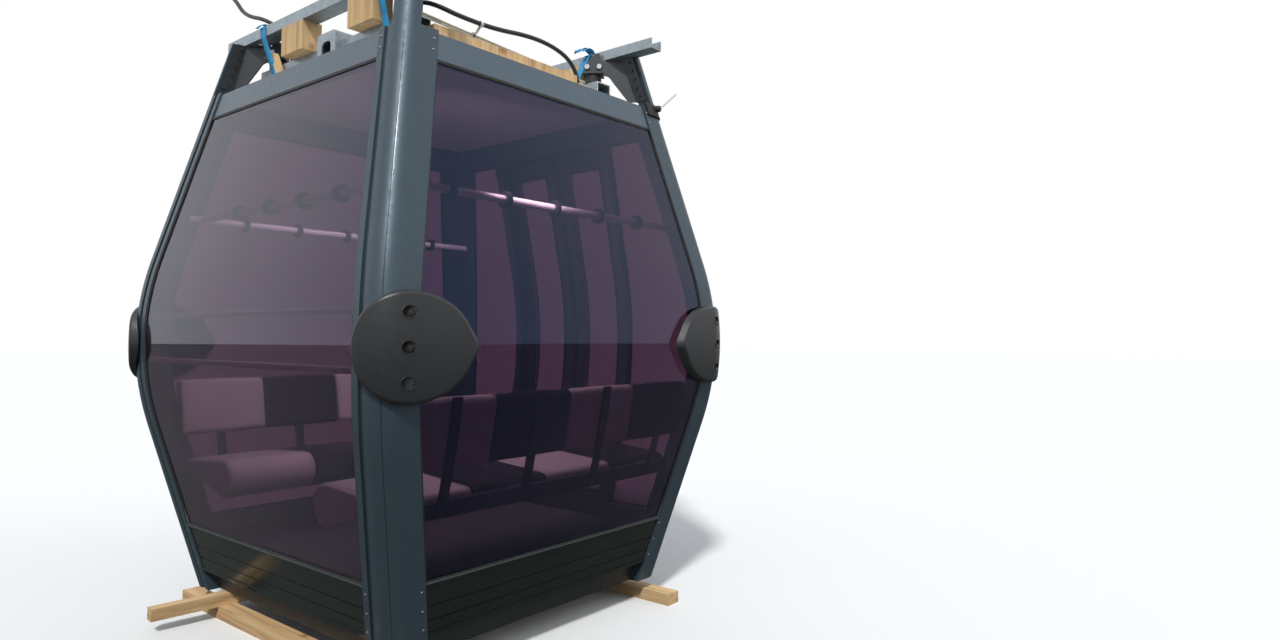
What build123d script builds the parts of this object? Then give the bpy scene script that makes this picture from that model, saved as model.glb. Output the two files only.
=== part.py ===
"""Cable car cabin for ten passengers, parked on timber bearers with its hanger taken off.

The frame has +X along the line of travel, +Y toward the doors and +Z up.  The origin lies on
the ground under the middle of the cabin.  All sizes are in millimetres and degrees.

The four walls lean in above and below a widest line, the waist, with one large bend there.
A wall is described by its offset from that leaning face: positive outside, negative inside.
"""
from build123d import *
import math
import os

os.makedirs("parts", exist_ok=True)

# Walls
body_length = 2090
body_width = 2010
upper_lean = 12.6
lower_lean = 13.45
bend_radius = 1750

# Heights of the walls, from the waist
base_below_waist = 1185
skirt_bottom_below_waist = 1087
glass_bottom_below_waist = 875
glass_top_above_waist = 1075
header_height = 113
post_top_above_glass = 390

# Timber bearers under the cabin
bearer_height = 55
lower_bearer_width = 80
lower_bearer_length = 1900
lower_bearer_spacing = 1470
upper_bearer_width = 55
upper_bearer_length = 2110
upper_bearer_spacing = 1040
upper_bearer_skew = -4.5

# Corner posts: bent hollow extrusions with an L section
post_leg = 152
post_depth = 70
post_wall = 7
post_proud = 6
post_round = 74
recess_width = 26
recess_depth = 10
recess_start = 36

# Panes and wall panels
pane_thickness = 8
pane_inset = 2
pane_gap = 0.5
header_depth = 60
header_wall = 5
skirt_thickness = 45
skirt_lip = 6
groove_width = 6
groove_depth = 4
groove_pitch = 57

# Floor and underframe
floor_thickness = 24
floor_below_waist = 950
edge_beam_width = 60
joist_width = 60
joist_height = 120
joist_wall = 5
joist_spacing = 480
joist_count = 3

# Waist covers
cover_height = 384
cover_tip_round = 62
cover_tip_reach = 297
cover_thickness = 47
cover_round = 160
cover_standoff = 18
cover_boss_width = 110
cover_boss_height = 320
cover_round_reach = 102
cover_drop = 16
cover_hole_diameter = 46
cover_hole_floor = -44
cover_hole_pitch = 118
cover_clearance = 1
cover_rim = 16
cover_zone = 230

# Roof
roof_thickness = 12
roof_margin = 34
centre_tube_width = 150
centre_tube_height = 170
centre_tube_length = 1300
centre_tube_wall = 8
centre_tube_place = 45
centre_hole_width = 74
centre_hole_height = 88
arm_width = 100
arm_height = 80
arm_wall = 5
arm_spacing = 1130
arm_end_inset = 425
arm_below_tube_top = 40
beam_width = 80
beam_height = 50
beam_wall = 6
beam_outside_arm = 70
beam_front_inset = 135
beam_back_inset = 185
hanger_bolt_spacing = 1200
hanger_bolt_diameter = 22
block_back_place = -215
block_front_inset = 695
block_length = 190
block_width = 95
plank_width = 50
plank_height = 72
plank_length = 830
plank_inset = 350
plank_shift = -155

# Knee gussets from the posts to the roof arms
gusset_thickness = 10
gusset_turn = 35
gusset_rise = 35
gusset_foot_drop = 82
gusset_foot_length = 104
gusset_foot_width = 100
gusset_foot_inset = 497
gusset_end_drop = 30
gusset_slope_start = 95
gusset_slope_end = 185
gusset_flange_inset = 12
gusset_bottom_above_roof = 40
gusset_bolt_diameter = 20
gusset_bolt_pitch = 64
damper_diameter = 84

# Cable along the front of the roof and over the window side: its corners, and their least bend
cable_diameter = 20
cable_bend = 80
cable_route = (
    (700, 290, 2495.3),
    (700, 288, 2570),
    (700, 225, 2642),
    (700, 110, 2674),
    (698, -40, 2678),
    (690, -240, 2652),
    (674, -420, 2658),
    (640, -538, 2688),
    (505, -500, 2725),
    (330, -500, 2850),
    (80, -515, 3010),
    (-220, -545, 3130),
    (-560, -595, 3205),
    (-892, -628, 3223),
    (-943, -632, 3163),
    (-930, -635, 3088),
    (-520, -625, 2858),
    (-400, -500, 2740),
    (-380, -430, 2650),
    (-380, -430, 2495.3),
)

# Doors
door_travel = 400
door_leaf_width = 420
door_gap = 4
door_thickness = 32
door_clearance = 10
door_stile = 84
door_bottom_rail = 150
door_top_rail = 110
jamb_width = 52
track_height = 96
track_wall = 4
track_length = 1490
track_lip = 22
guide_height = 34
guide_wall = 4
guide_pin_width = 40
guide_pin_inset = 82
guide_play = 6
guide_below_floor = 50
track_above_glass = 14
leaf_play = 7
leaf_window_round = 30
hanger_place_ratio = 0.3
hanger_recess = 8
lip_play = 6
hanger_width = 70
hanger_thickness = 8
roller_diameter = 34
roller_thickness = 12
roller_play = 0.4

# Benches
seat_pitch = 416
seats_a_bench = 4
seat_gap = 4
seat_height = 404
seat_roll_diameter = 172
seat_front_inset = 700
seat_rear_diameter = 60
seat_rear_inset = 233
seat_slope = 4
seat_bracket_width = 80
backrest_thickness = 62
backrest_height = 270
backrest_rise = 75
bench_rail_width = 40
bench_rail_height = 60
bench_rail_drop = 48
upright_width = 44
upright_thickness = 8
upright_setback = 62
piece_play = 0.3

# Grab rails inside
grab_rail_above_waist = 585
grab_rail_diameter = 34
grab_rail_end_inset = 127
grab_rail_side_inset = 137
disc_diameter = 72
disc_thickness = 20
disc_pitch = 285
window_rail_diameter = 26
window_rail_heights = (107, -98)

# Working sizes
half_length = body_length / 2
half_width = body_width / 2
base = 2 * bearer_height
waist = base + base_below_waist
skirt_bottom = waist - skirt_bottom_below_waist
glass_bottom = waist - glass_bottom_below_waist
glass_top = waist + glass_top_above_waist
header_top = glass_top + header_height
post_top = glass_top + post_top_above_glass
floor_top = waist - floor_below_waist
roof_top = header_top + roof_thickness
beam_bottom = post_top
arm_top = roof_top + centre_tube_height - arm_below_tube_top
reach = body_length
rear_offset = -skirt_thickness
arm_end = half_length - arm_end_inset
beam_spacing = arm_spacing + 2 * beam_outside_arm
seat_front = half_length - seat_front_inset
seat_rear = half_length - seat_rear_inset


def lean_in(height):
    """How far the walls have leaned in at a height above the ground."""
    rise = abs(height - waist)
    lean = math.radians(upper_lean if height > waist else lower_lean)
    bend_rise = bend_radius * math.sin(lean)
    if rise < bend_rise:
        return bend_radius - math.sqrt(bend_radius**2 - rise**2)
    return bend_radius * (1 - math.cos(lean)) + (rise - bend_rise) * math.tan(lean)


def wall_at(half, offset, height):
    """Distance of a wall line from the middle plane at a height."""
    return half + offset - lean_in(height)


def wall_curve(half, offset, low, high, side=1):
    """The edges of one wall line inside a BuildLine: straight, bent at the waist, straight."""
    bend_low = waist - bend_radius * math.sin(math.radians(lower_lean))
    bend_high = waist + bend_radius * math.sin(math.radians(upper_lean))
    heights = [low] + [h for h in (bend_low, bend_high) if low < h < high] + [high]
    for start, end in zip(heights, heights[1:]):
        middle = (start + end) / 2
        points = [(side * wall_at(half, offset, h), h) for h in (start, middle, end)]
        if bend_low < middle < bend_high:
            ThreePointArc(*points)
        else:
            Line(points[0], points[2])


def wall_band(plane, half, outer, inner, low, high):
    """The upright section of a wall between two offsets and two heights."""
    with BuildSketch(plane) as band:
        with BuildLine():
            wall_curve(half, outer, low, high)
            wall_curve(half, inner, low, high)
            Line((wall_at(half, outer, low), low), (wall_at(half, inner, low), low))
            Line((wall_at(half, outer, high), high), (wall_at(half, inner, high), high))
        make_face()
    return band.sketch


def wall_trunk(plane, half, offset, low, high):
    """The upright section of all that lies between two opposite walls."""
    with BuildSketch(plane) as trunk:
        with BuildLine():
            wall_curve(half, offset, low, high)
            wall_curve(half, offset, low, high, side=-1)
            Line((wall_at(half, offset, low), low), (-wall_at(half, offset, low), low))
            Line((wall_at(half, offset, high), high), (-wall_at(half, offset, high), high))
        make_face()
    return trunk.sketch


def corner_column(outer_x, inner_x, outer_y, inner_y, low, high):
    """A leaning column at the +X +Y corner between offsets from its two walls."""
    with BuildPart() as column:
        extrude(wall_band(Plane.XZ, half_length, outer_x, inner_x, low, high), amount=reach, both=True)
        extrude(
            wall_band(Plane.YZ, half_width, outer_y, inner_y, low, high),
            amount=reach, both=True, mode=Mode.INTERSECT,
        )
    return column.part


def end_wall_panel(outer, inner, side_offset, low, high):
    """A piece of the +X wall that ends at an offset from the two side walls."""
    with BuildPart() as panel:
        extrude(wall_band(Plane.XZ, half_length, outer, inner, low, high), amount=reach, both=True)
        extrude(
            wall_trunk(Plane.YZ, half_width, side_offset, low, high),
            amount=reach, both=True, mode=Mode.INTERSECT,
        )
    return panel.part


def side_wall_panel(outer, inner, side_offset, low, high):
    """A piece of the +Y wall that ends at an offset from the two end walls."""
    with BuildPart() as panel:
        extrude(wall_band(Plane.YZ, half_width, outer, inner, low, high), amount=reach, both=True)
        extrude(
            wall_trunk(Plane.XZ, half_length, side_offset, low, high),
            amount=reach, both=True, mode=Mode.INTERSECT,
        )
    return panel.part


def level_panel(offset, low, high):
    """A level sheet that fills the walls at an offset, with its corners notched for the posts."""
    tight = low if high < waist else high
    notches = ((post_leg, post_depth), (post_depth, post_leg))
    with BuildPart() as panel:
        extrude(wall_trunk(Plane.XZ, half_length, offset, low, high), amount=reach, both=True)
        extrude(
            wall_trunk(Plane.YZ, half_width, offset, low, high),
            amount=reach, both=True, mode=Mode.INTERSECT,
        )
        with BuildSketch(Plane.XY.offset(low)):
            for depth_x, depth_y in notches:
                notch_x = wall_at(half_length, -depth_x, tight) - piece_play
                notch_y = wall_at(half_width, -depth_y, tight) - piece_play
                with GridLocations(2 * (notch_x + post_leg), 2 * (notch_y + post_leg), 2, 2):
                    Rectangle(2 * post_leg, 2 * post_leg)
        extrude(amount=high - low, mode=Mode.SUBTRACT)
    return panel.part


def both_legs(depth, low):
    """What lies beside the corner tube of a post above a height: one block for each leg."""
    far = -2 * post_leg
    high = post_top + 1
    return (
        corner_column(-depth, far, post_leg, far, low, high),
        corner_column(post_leg, far, -depth, far, low, high),
    )


def beyond_walls(point, offset):
    """Whether a point lies farther out than an offset from one of its two walls."""
    return point.X > wall_at(half_length, offset, point.Z) or point.Y > wall_at(half_width, offset, point.Z)


def outer_corner_edges(builder, offset):
    """The upright edges of a column where its two outer faces meet."""
    return builder.edges().filter_by(
        lambda edge: edge.center().X > wall_at(half_length, offset - 1, edge.center().Z)
        and edge.center().Y > wall_at(half_width, offset - 1, edge.center().Z)
        and abs(edge.position_at(0).Z - edge.position_at(1).Z) > 1
    )


def rounded_core(offset, radius, low, high):
    """All that lies inside a rounded +X +Y corner at an offset from the walls, past both heights."""
    inner = -8 * post_leg
    with BuildPart() as core:
        add(corner_column(offset, inner, offset, inner, low - 1, high + 1))
        fillet(outer_corner_edges(core, offset), radius)
    return core.part


def save(piece, name):
    """Label a finished piece and write it under its own name."""
    piece.label = name
    export_step(piece, f"parts/{name}.step")


# Timber bearers: two along the line, and two across on top of them
with BuildPart() as lower_bearers:
    with BuildSketch():
        with GridLocations(0, lower_bearer_spacing, 1, 2):
            Rectangle(lower_bearer_length, lower_bearer_width)
    extrude(amount=bearer_height)
save(lower_bearers.part, "lower_bearers")

with BuildPart() as upper_bearers:
    with BuildSketch(Plane.XY.offset(bearer_height)):
        with Locations(Location((-upper_bearer_spacing / 2, 0), upper_bearer_skew)):
            Rectangle(upper_bearer_width, upper_bearer_length)
        with Locations((upper_bearer_spacing / 2, 0)):
            Rectangle(upper_bearer_width, upper_bearer_length)
    extrude(amount=bearer_height)
save(upper_bearers.part, "upper_bearers")

# Underframe: edge beams behind the skirts, and box joists between the two side beams
beam_inner = rear_offset - edge_beam_width
frame_top = floor_top - floor_thickness
with BuildPart() as edge_beams:
    add(side_wall_panel(rear_offset, beam_inner, -post_leg, base, frame_top))
    add(end_wall_panel(rear_offset, beam_inner, -post_leg, base, frame_top))
    mirror(about=Plane.XZ)
    mirror(about=Plane.YZ)
save(edge_beams.part, "edge_beams")

with BuildPart() as floor_joists:
    joist_low = frame_top - joist_height
    with BuildSketch(Plane.XZ):
        with Locations((0, (joist_low + frame_top) / 2)):
            with GridLocations(joist_spacing, 0, joist_count, 1):
                Rectangle(joist_width, joist_height)
                Rectangle(joist_width - 2 * joist_wall, joist_height - 2 * joist_wall, mode=Mode.SUBTRACT)
    extrude(amount=reach, both=True)
    extrude(wall_trunk(Plane.YZ, half_width, beam_inner, joist_low, frame_top),
            amount=reach, both=True, mode=Mode.INTERSECT)
save(floor_joists.part, "floor_joists")

# Floor, notched around the posts
save(level_panel(rear_offset, floor_top - floor_thickness, floor_top), "floor_panel")

# Corner posts: an L-shaped tube with a rounded outer corner and a recess beside each side window.
# Above the roof only the square tube at the corner goes on, and it is closed at the top.
with BuildPart() as post_outside:
    add(corner_column(post_proud, -post_leg, post_proud, -post_leg, base, post_top))
    add(corner_column(-post_depth, -post_leg, -post_depth, -post_leg, base, post_top), mode=Mode.SUBTRACT)
    fillet(outer_corner_edges(post_outside, post_proud), post_round)
    for leg in both_legs(post_depth, roof_top):
        add(leg, mode=Mode.SUBTRACT)

with BuildPart() as post_hollow:
    hollow_outer = post_proud - post_wall
    hollow_leg = post_wall - post_leg
    hollow_depth = post_wall - post_depth
    hollow_top = post_top - post_wall
    add(corner_column(hollow_outer, hollow_leg, hollow_outer, hollow_leg, base - 1, hollow_top))
    add(corner_column(hollow_depth, hollow_leg, hollow_depth, hollow_leg, base - 1, hollow_top),
        mode=Mode.SUBTRACT)
    fillet(outer_corner_edges(post_hollow, hollow_outer), post_round - post_wall)
    for leg in both_legs(-hollow_depth, roof_top - post_wall):
        add(leg, mode=Mode.SUBTRACT)

with BuildPart() as corner_post:
    recess_near = recess_start - post_leg
    recess_far = recess_near + recess_width
    recess_floor = post_proud - recess_depth
    add(post_outside.part)
    add(post_hollow.part, mode=Mode.SUBTRACT)
    add(corner_column(recess_far + post_wall, recess_near - post_wall,
                      hollow_outer, recess_floor - post_wall, base, roof_top))
    add(corner_column(recess_far, recess_near, post_proud + 1, recess_floor, base - 1, post_top + 1),
        mode=Mode.SUBTRACT)

posts = {
    "post_front_door": corner_post.part,
    "post_back_door": mirror(corner_post.part, about=Plane.YZ),
    "post_front_window": mirror(corner_post.part, about=Plane.XZ),
    "post_back_window": mirror(mirror(corner_post.part, about=Plane.YZ), about=Plane.XZ),
}
for name, post in posts.items():
    save(post, name)

# Headers: hollow beams between the posts above the glass
with BuildPart() as header_front:
    add(end_wall_panel(0, -header_depth, -post_leg, glass_top, header_top))
    add(end_wall_panel(-header_wall, header_wall - header_depth, -post_leg + 1,
                       glass_top + header_wall, header_top - header_wall), mode=Mode.SUBTRACT)
with BuildPart() as header_door:
    add(side_wall_panel(0, -header_depth, -post_leg, glass_top, header_top))
    add(side_wall_panel(-header_wall, header_wall - header_depth, -post_leg + 1,
                        glass_top + header_wall, header_top - header_wall), mode=Mode.SUBTRACT)
save(header_front.part, "header_front")
save(mirror(header_front.part, about=Plane.YZ), "header_back")
save(header_door.part, "header_door")
save(mirror(header_door.part, about=Plane.XZ), "header_window")

# Skirts: lower wall panels with a lip at the top edge and at the bottom edge, and long grooves
groove_heights = [skirt_bottom + groove_pitch, skirt_bottom + 2 * groove_pitch]
lip_height = 2 * skirt_lip
with BuildPart() as skirt_front:
    add(end_wall_panel(0, -skirt_thickness, -post_leg, skirt_bottom, glass_bottom))
    for lip in (skirt_bottom, glass_bottom - lip_height):
        add(end_wall_panel(skirt_lip, -1, -post_leg, lip, lip + lip_height))
    for groove in groove_heights:
        add(end_wall_panel(1, -groove_depth, 0, groove, groove + groove_width), mode=Mode.SUBTRACT)
with BuildPart() as skirt_window:
    add(side_wall_panel(0, -skirt_thickness, -post_leg, skirt_bottom, glass_bottom))
    for lip in (skirt_bottom, glass_bottom - lip_height):
        add(side_wall_panel(skirt_lip, -1, -post_leg, lip, lip + lip_height))
    for groove in groove_heights:
        add(side_wall_panel(1, -groove_depth, 0, groove, groove + groove_width), mode=Mode.SUBTRACT)
with BuildPart() as skirt_door:
    add(side_wall_panel(0, -skirt_thickness, -post_leg, skirt_bottom, floor_top))
    for groove in groove_heights:
        if groove + groove_width < floor_top:
            add(side_wall_panel(1, -groove_depth, 0, groove, groove + groove_width), mode=Mode.SUBTRACT)
save(skirt_front.part, "skirt_front")
save(mirror(skirt_front.part, about=Plane.YZ), "skirt_back")
save(mirror(skirt_window.part, about=Plane.XZ), "skirt_window")
save(skirt_door.part, "skirt_door")

# Window panes, bent at the waist
pane_low = glass_bottom + pane_gap
pane_high = glass_top - pane_gap
pane_side = -post_leg - pane_gap
pane_inner = -pane_inset - pane_thickness
pane_front = end_wall_panel(-pane_inset, pane_inner, pane_side, pane_low, pane_high)
save(pane_front, "pane_front")
save(mirror(pane_front, about=Plane.YZ), "pane_back")
save(mirror(side_wall_panel(-pane_inset, pane_inner, pane_side, pane_low, pane_high), about=Plane.XZ),
     "pane_window")

# Doorway: a jamb each side of the opening, with a low panel that runs to the post
doorway_half = door_travel
jamb_outer = doorway_half + jamb_width
with BuildPart() as door_jambs:
    add(side_wall_panel(0, -skirt_thickness, -post_leg, floor_top, glass_top))
    with BuildSketch(Plane.XZ):
        with Locations((0, waist)):
            Rectangle(2 * doorway_half, 2 * body_length)
        for side in (1, -1):
            with Locations((side * (jamb_outer + half_length / 2), glass_bottom + body_length / 2)):
                Rectangle(half_length, body_length)
    extrude(amount=reach, both=True, mode=Mode.SUBTRACT)
save(door_jambs.part, "door_jambs")

with BuildPart() as door_side_panes:
    add(side_wall_panel(-pane_inset, pane_inner, pane_side, pane_low, pane_high))
    with BuildSketch(Plane.XZ):
        with Locations((0, waist)):
            Rectangle(2 * (jamb_outer + pane_gap), 2 * body_length)
    extrude(amount=reach, both=True, mode=Mode.SUBTRACT)
save(door_side_panes.part, "door_side_panes")

# Door track over the doorway: a channel, open below, with a lip that the rollers run on
track_low = glass_top + track_above_glass
track_top = track_low + track_height
track_wall_line = wall_at(half_width, 0, track_low)
door_inner = post_proud + door_clearance
door_outer = door_inner + door_thickness
hanger_inner = track_wall_line + door_outer - hanger_thickness - hanger_recess
roller_inner = hanger_inner + 2 * hanger_thickness
lip_inner = hanger_inner + hanger_thickness + lip_play
track_outer = lip_inner + track_lip
with BuildPart() as door_track:
    with BuildSketch(Plane.YZ.offset(-track_length / 2)):
        with BuildLine():
            wall_curve(half_width, post_proud, track_low, track_top)
            wall_curve(half_width, post_proud + track_wall, track_low, track_top - track_wall)
            Polyline(
                (wall_at(half_width, post_proud, track_top), track_top),
                (track_outer + track_wall, track_top),
                (track_outer + track_wall, track_low),
                (lip_inner, track_low),
                (lip_inner, track_low + track_wall),
                (track_outer, track_low + track_wall),
                (track_outer, track_top - track_wall),
                (wall_at(half_width, post_proud + track_wall, track_top - track_wall),
                 track_top - track_wall),
            )
            Line((wall_at(half_width, post_proud, track_low), track_low),
                 (wall_at(half_width, post_proud + track_wall, track_low), track_low))
        make_face()
    extrude(amount=track_length)
save(door_track.part, "door_track")

# Door guide on the sill: a channel, open above, that keeps the feet of the leaves in line
guide_top = floor_top - guide_below_floor
guide_low = guide_top - guide_height
with BuildPart() as door_guide:
    guide_start = Plane.YZ.offset(-track_length / 2)
    guide_inner = post_proud + guide_wall
    guide_outer = door_outer + guide_play
    extrude(wall_band(guide_start, half_width, guide_outer + guide_wall, post_proud, guide_low, guide_top),
            amount=track_length)
    extrude(
        wall_band(guide_start, half_width, guide_outer, guide_inner, guide_low + guide_wall, guide_top + 1),
        amount=track_length, mode=Mode.SUBTRACT,
    )
save(door_guide.part, "door_guide")

# Door leaves, bent like the wall, each with one narrow window
leaf_low = guide_top + leaf_play
leaf_high = track_low - leaf_play
leaf_start = Plane.YZ.offset(door_gap / 2)
window_width = door_leaf_width - 2 * door_stile
window_low = leaf_low + door_bottom_rail
window_high = leaf_high - door_top_rail
with BuildPart() as door_leaf:
    extrude(wall_band(leaf_start, half_width, door_outer, door_inner, leaf_low, leaf_high),
            amount=door_leaf_width)
    with BuildSketch(Plane.XZ):
        with Locations((door_gap / 2 + door_leaf_width / 2, (window_low + window_high) / 2)):
            RectangleRounded(window_width, window_high - window_low, leaf_window_round)
    extrude(amount=-reach, mode=Mode.SUBTRACT)
    outer_pin_place = door_gap / 2 + door_leaf_width - guide_pin_inset - guide_pin_width
    for pin_place in (door_gap / 2, outer_pin_place):
        extrude(
            wall_band(Plane.YZ.offset(pin_place), half_width, door_outer, door_inner,
                      guide_low + guide_wall + leaf_play, leaf_low + 1),
            amount=guide_pin_width,
        )
save(door_leaf.part, "door_leaf_front")
save(mirror(door_leaf.part, about=Plane.YZ), "door_leaf_back")

with BuildPart() as door_pane:
    pane_middle = (door_inner + door_outer) / 2
    extrude(
        wall_band(leaf_start, half_width, pane_middle + pane_thickness / 2, pane_middle - pane_thickness / 2,
                  leaf_low, leaf_high),
        amount=door_leaf_width,
    )
    with BuildSketch(Plane.XZ):
        with Locations((door_gap / 2 + door_leaf_width / 2, (window_low + window_high) / 2)):
            RectangleRounded(window_width - pane_gap, window_high - window_low - pane_gap, leaf_window_round)
    extrude(amount=-reach, mode=Mode.INTERSECT)
save(door_pane.part, "door_pane_front")
save(mirror(door_pane.part, about=Plane.YZ), "door_pane_back")

# Door hangers: a plate up into the track, with a roller on the track's lip
with BuildPart() as door_hangers:
    roller_axis = track_low + track_wall + roller_play + roller_diameter / 2
    hanger_places = [
        door_gap / 2 + door_leaf_width * ratio for ratio in (hanger_place_ratio, 1 - hanger_place_ratio)
    ]
    hanger_foot = leaf_high
    with BuildSketch(Plane.XZ.offset(-hanger_inner)):
        for place in hanger_places:
            with Locations((place, (hanger_foot + roller_axis + roller_diameter / 2) / 2)):
                Rectangle(hanger_width, roller_axis + roller_diameter / 2 - hanger_foot)
    extrude(amount=-hanger_thickness)
    with BuildSketch(Plane.XZ.offset(-hanger_inner)):
        for place in hanger_places:
            with Locations((place, roller_axis)):
                Circle(roller_diameter / 4)
    extrude(amount=-(roller_inner - hanger_inner + roller_thickness))
    with BuildSketch(Plane.XZ.offset(-roller_inner)):
        for place in hanger_places:
            with Locations((place, roller_axis)):
                Circle(roller_diameter / 2)
    extrude(amount=-roller_thickness)
save(door_hangers.part, "door_hangers_front")
save(mirror(door_hangers.part, about=Plane.YZ), "door_hangers_back")

# Waist covers: egg-shaped shells that stand off the walls, their narrow ends toward the end windows,
# each with a boss on its post
with BuildPart() as waist_cover:
    cover_middle = waist - cover_drop
    cover_low = cover_middle - cover_zone
    cover_high = cover_middle + cover_zone
    cover_plane = Plane(origin=(half_length, half_width, cover_middle), x_dir=(1, -1, 0), z_dir=(1, 1, 0))
    cover_round_middle = cover_height / 2 - cover_round_reach
    cover_far = -4 * post_leg
    add(corner_column(cover_thickness, cover_far, cover_thickness, cover_far, cover_low, cover_high))
    fillet(outer_corner_edges(waist_cover, cover_thickness), cover_round)
    with BuildSketch(cover_plane):
        with Locations((cover_round_middle, 0)):
            Circle(cover_height / 2)
        with Locations((cover_tip_reach - cover_tip_round, 0)):
            Circle(cover_tip_round)
        make_hull()
    extrude(amount=body_width / 2, both=True, mode=Mode.INTERSECT)
    add(rounded_core(post_proud + cover_clearance, post_round + cover_clearance, cover_low, cover_high),
        mode=Mode.SUBTRACT)
    side_faces = waist_cover.faces().filter_by(
        lambda face: abs(face.normal_at().dot(cover_plane.z_dir)) < 0.02
    )
    outer_rim = [
        edge for face in side_faces for edge in face.edges()
        if all(beyond_walls(point, cover_thickness / 2) for point in (edge @ 0, edge @ 0.5, edge @ 1))
    ]
    fillet(outer_rim, cover_rim)
    with BuildPart(mode=Mode.PRIVATE) as shell_back:
        shell_round = cover_round - cover_thickness + cover_standoff
        add(rounded_core(cover_standoff, shell_round, cover_low, cover_high))
        with BuildSketch(cover_plane):
            with Locations((cover_round_middle, 0)):
                RectangleRounded(cover_boss_width, cover_boss_height, cover_boss_width / 3)
        extrude(amount=body_width / 2, both=True, mode=Mode.SUBTRACT)
    add(shell_back.part, mode=Mode.SUBTRACT)
    with BuildSketch(cover_plane.offset(cover_hole_floor)):
        with Locations((cover_round_middle, 0)):
            with GridLocations(0, cover_hole_pitch, 1, 3):
                Circle(cover_hole_diameter / 2)
    extrude(amount=post_leg, mode=Mode.SUBTRACT)
with BuildPart() as waist_covers:
    add(waist_cover.part)
    mirror(about=Plane.XZ)
    mirror(about=Plane.YZ)
save(waist_covers.part, "waist_covers")

# Roof panel on the headers
save(level_panel(-roof_margin, header_top, roof_top), "roof_panel")

# Roof frame: a box tube across the cabin with an arm toward each post
with BuildPart() as roof_frame:
    tube_plane = Plane.XZ.offset(-centre_tube_length / 2)
    tube_middle = roof_top + centre_tube_height / 2
    arm_middle = arm_top - arm_height / 2
    with BuildSketch(tube_plane):
        with Locations((centre_tube_place, tube_middle)):
            RectangleRounded(centre_tube_width, centre_tube_height, 2 * centre_tube_wall)
    extrude(amount=centre_tube_length)
    with BuildSketch(tube_plane.offset(centre_tube_wall)):
        with Locations((centre_tube_place, tube_middle)):
            RectangleRounded(centre_tube_width - 2 * centre_tube_wall,
                             centre_tube_height - 2 * centre_tube_wall, centre_tube_wall)
    extrude(amount=centre_tube_length - 2 * centre_tube_wall, mode=Mode.SUBTRACT)
    with BuildSketch(tube_plane):
        with Locations((centre_tube_place, tube_middle)):
            RectangleRounded(centre_hole_width, centre_hole_height, centre_hole_width / 3)
    extrude(amount=centre_tube_length, mode=Mode.SUBTRACT)
    for side in (1, -1):
        arm_start = centre_tube_place + side * centre_tube_width / 2
        arm_plane = Plane.YZ.offset(arm_start)
        with BuildSketch(arm_plane):
            with Locations((-arm_spacing / 2, arm_middle), (arm_spacing / 2, arm_middle)):
                Rectangle(arm_width, arm_height)
                Rectangle(arm_width - 2 * arm_wall, arm_height - 2 * arm_wall, mode=Mode.SUBTRACT)
        extrude(amount=side * arm_end - arm_start)
save(roof_frame.part, "roof_frame")

# Hanger beams: channels open at the top, on the ends of the posts
with BuildPart() as hanger_beam:
    beam_back_end = beam_back_inset - half_length
    beam_front_end = half_length - beam_front_inset
    with BuildSketch(Plane.YZ.offset(beam_back_end)):
        with Locations((beam_spacing / 2, beam_bottom)):
            Rectangle(beam_width, beam_height, align=(Align.CENTER, Align.MIN))
        with Locations((beam_spacing / 2, beam_bottom + beam_wall)):
            Rectangle(beam_width - 2 * beam_wall, beam_height, align=(Align.CENTER, Align.MIN),
                      mode=Mode.SUBTRACT)
    extrude(amount=beam_front_end - beam_back_end)
    with BuildSketch(Plane.XY.offset(beam_bottom)):
        with Locations((0, beam_spacing / 2)):
            with GridLocations(hanger_bolt_spacing, 0, 2, 1):
                Circle(hanger_bolt_diameter / 2)
    extrude(amount=beam_wall, mode=Mode.SUBTRACT)
save(hanger_beam.part, "hanger_beam_door")
save(mirror(hanger_beam.part, about=Plane.XZ), "hanger_beam_window")

# Loose timber: blocks between the roof arms and the hanger beams, and a plank across each end
with BuildPart() as packing_timbers:
    block_middle = beam_spacing / 2 + beam_width / 2 - block_width / 2
    block_places = (block_back_place, half_length - block_front_inset)
    with BuildSketch(Plane.XY.offset(arm_top)):
        with Locations(*[(place, side * block_middle) for place in block_places for side in (1, -1)]):
            Rectangle(block_length, block_width)
    extrude(amount=beam_bottom - arm_top)
    with BuildSketch(Plane.XY.offset(roof_top)):
        with Locations((0, plank_shift)):
            with GridLocations(2 * (half_length - plank_inset), 0, 2, 1):
                Rectangle(plank_width, plank_length)
    extrude(amount=plank_height)
save(packing_timbers.part, "packing_timbers")

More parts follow.
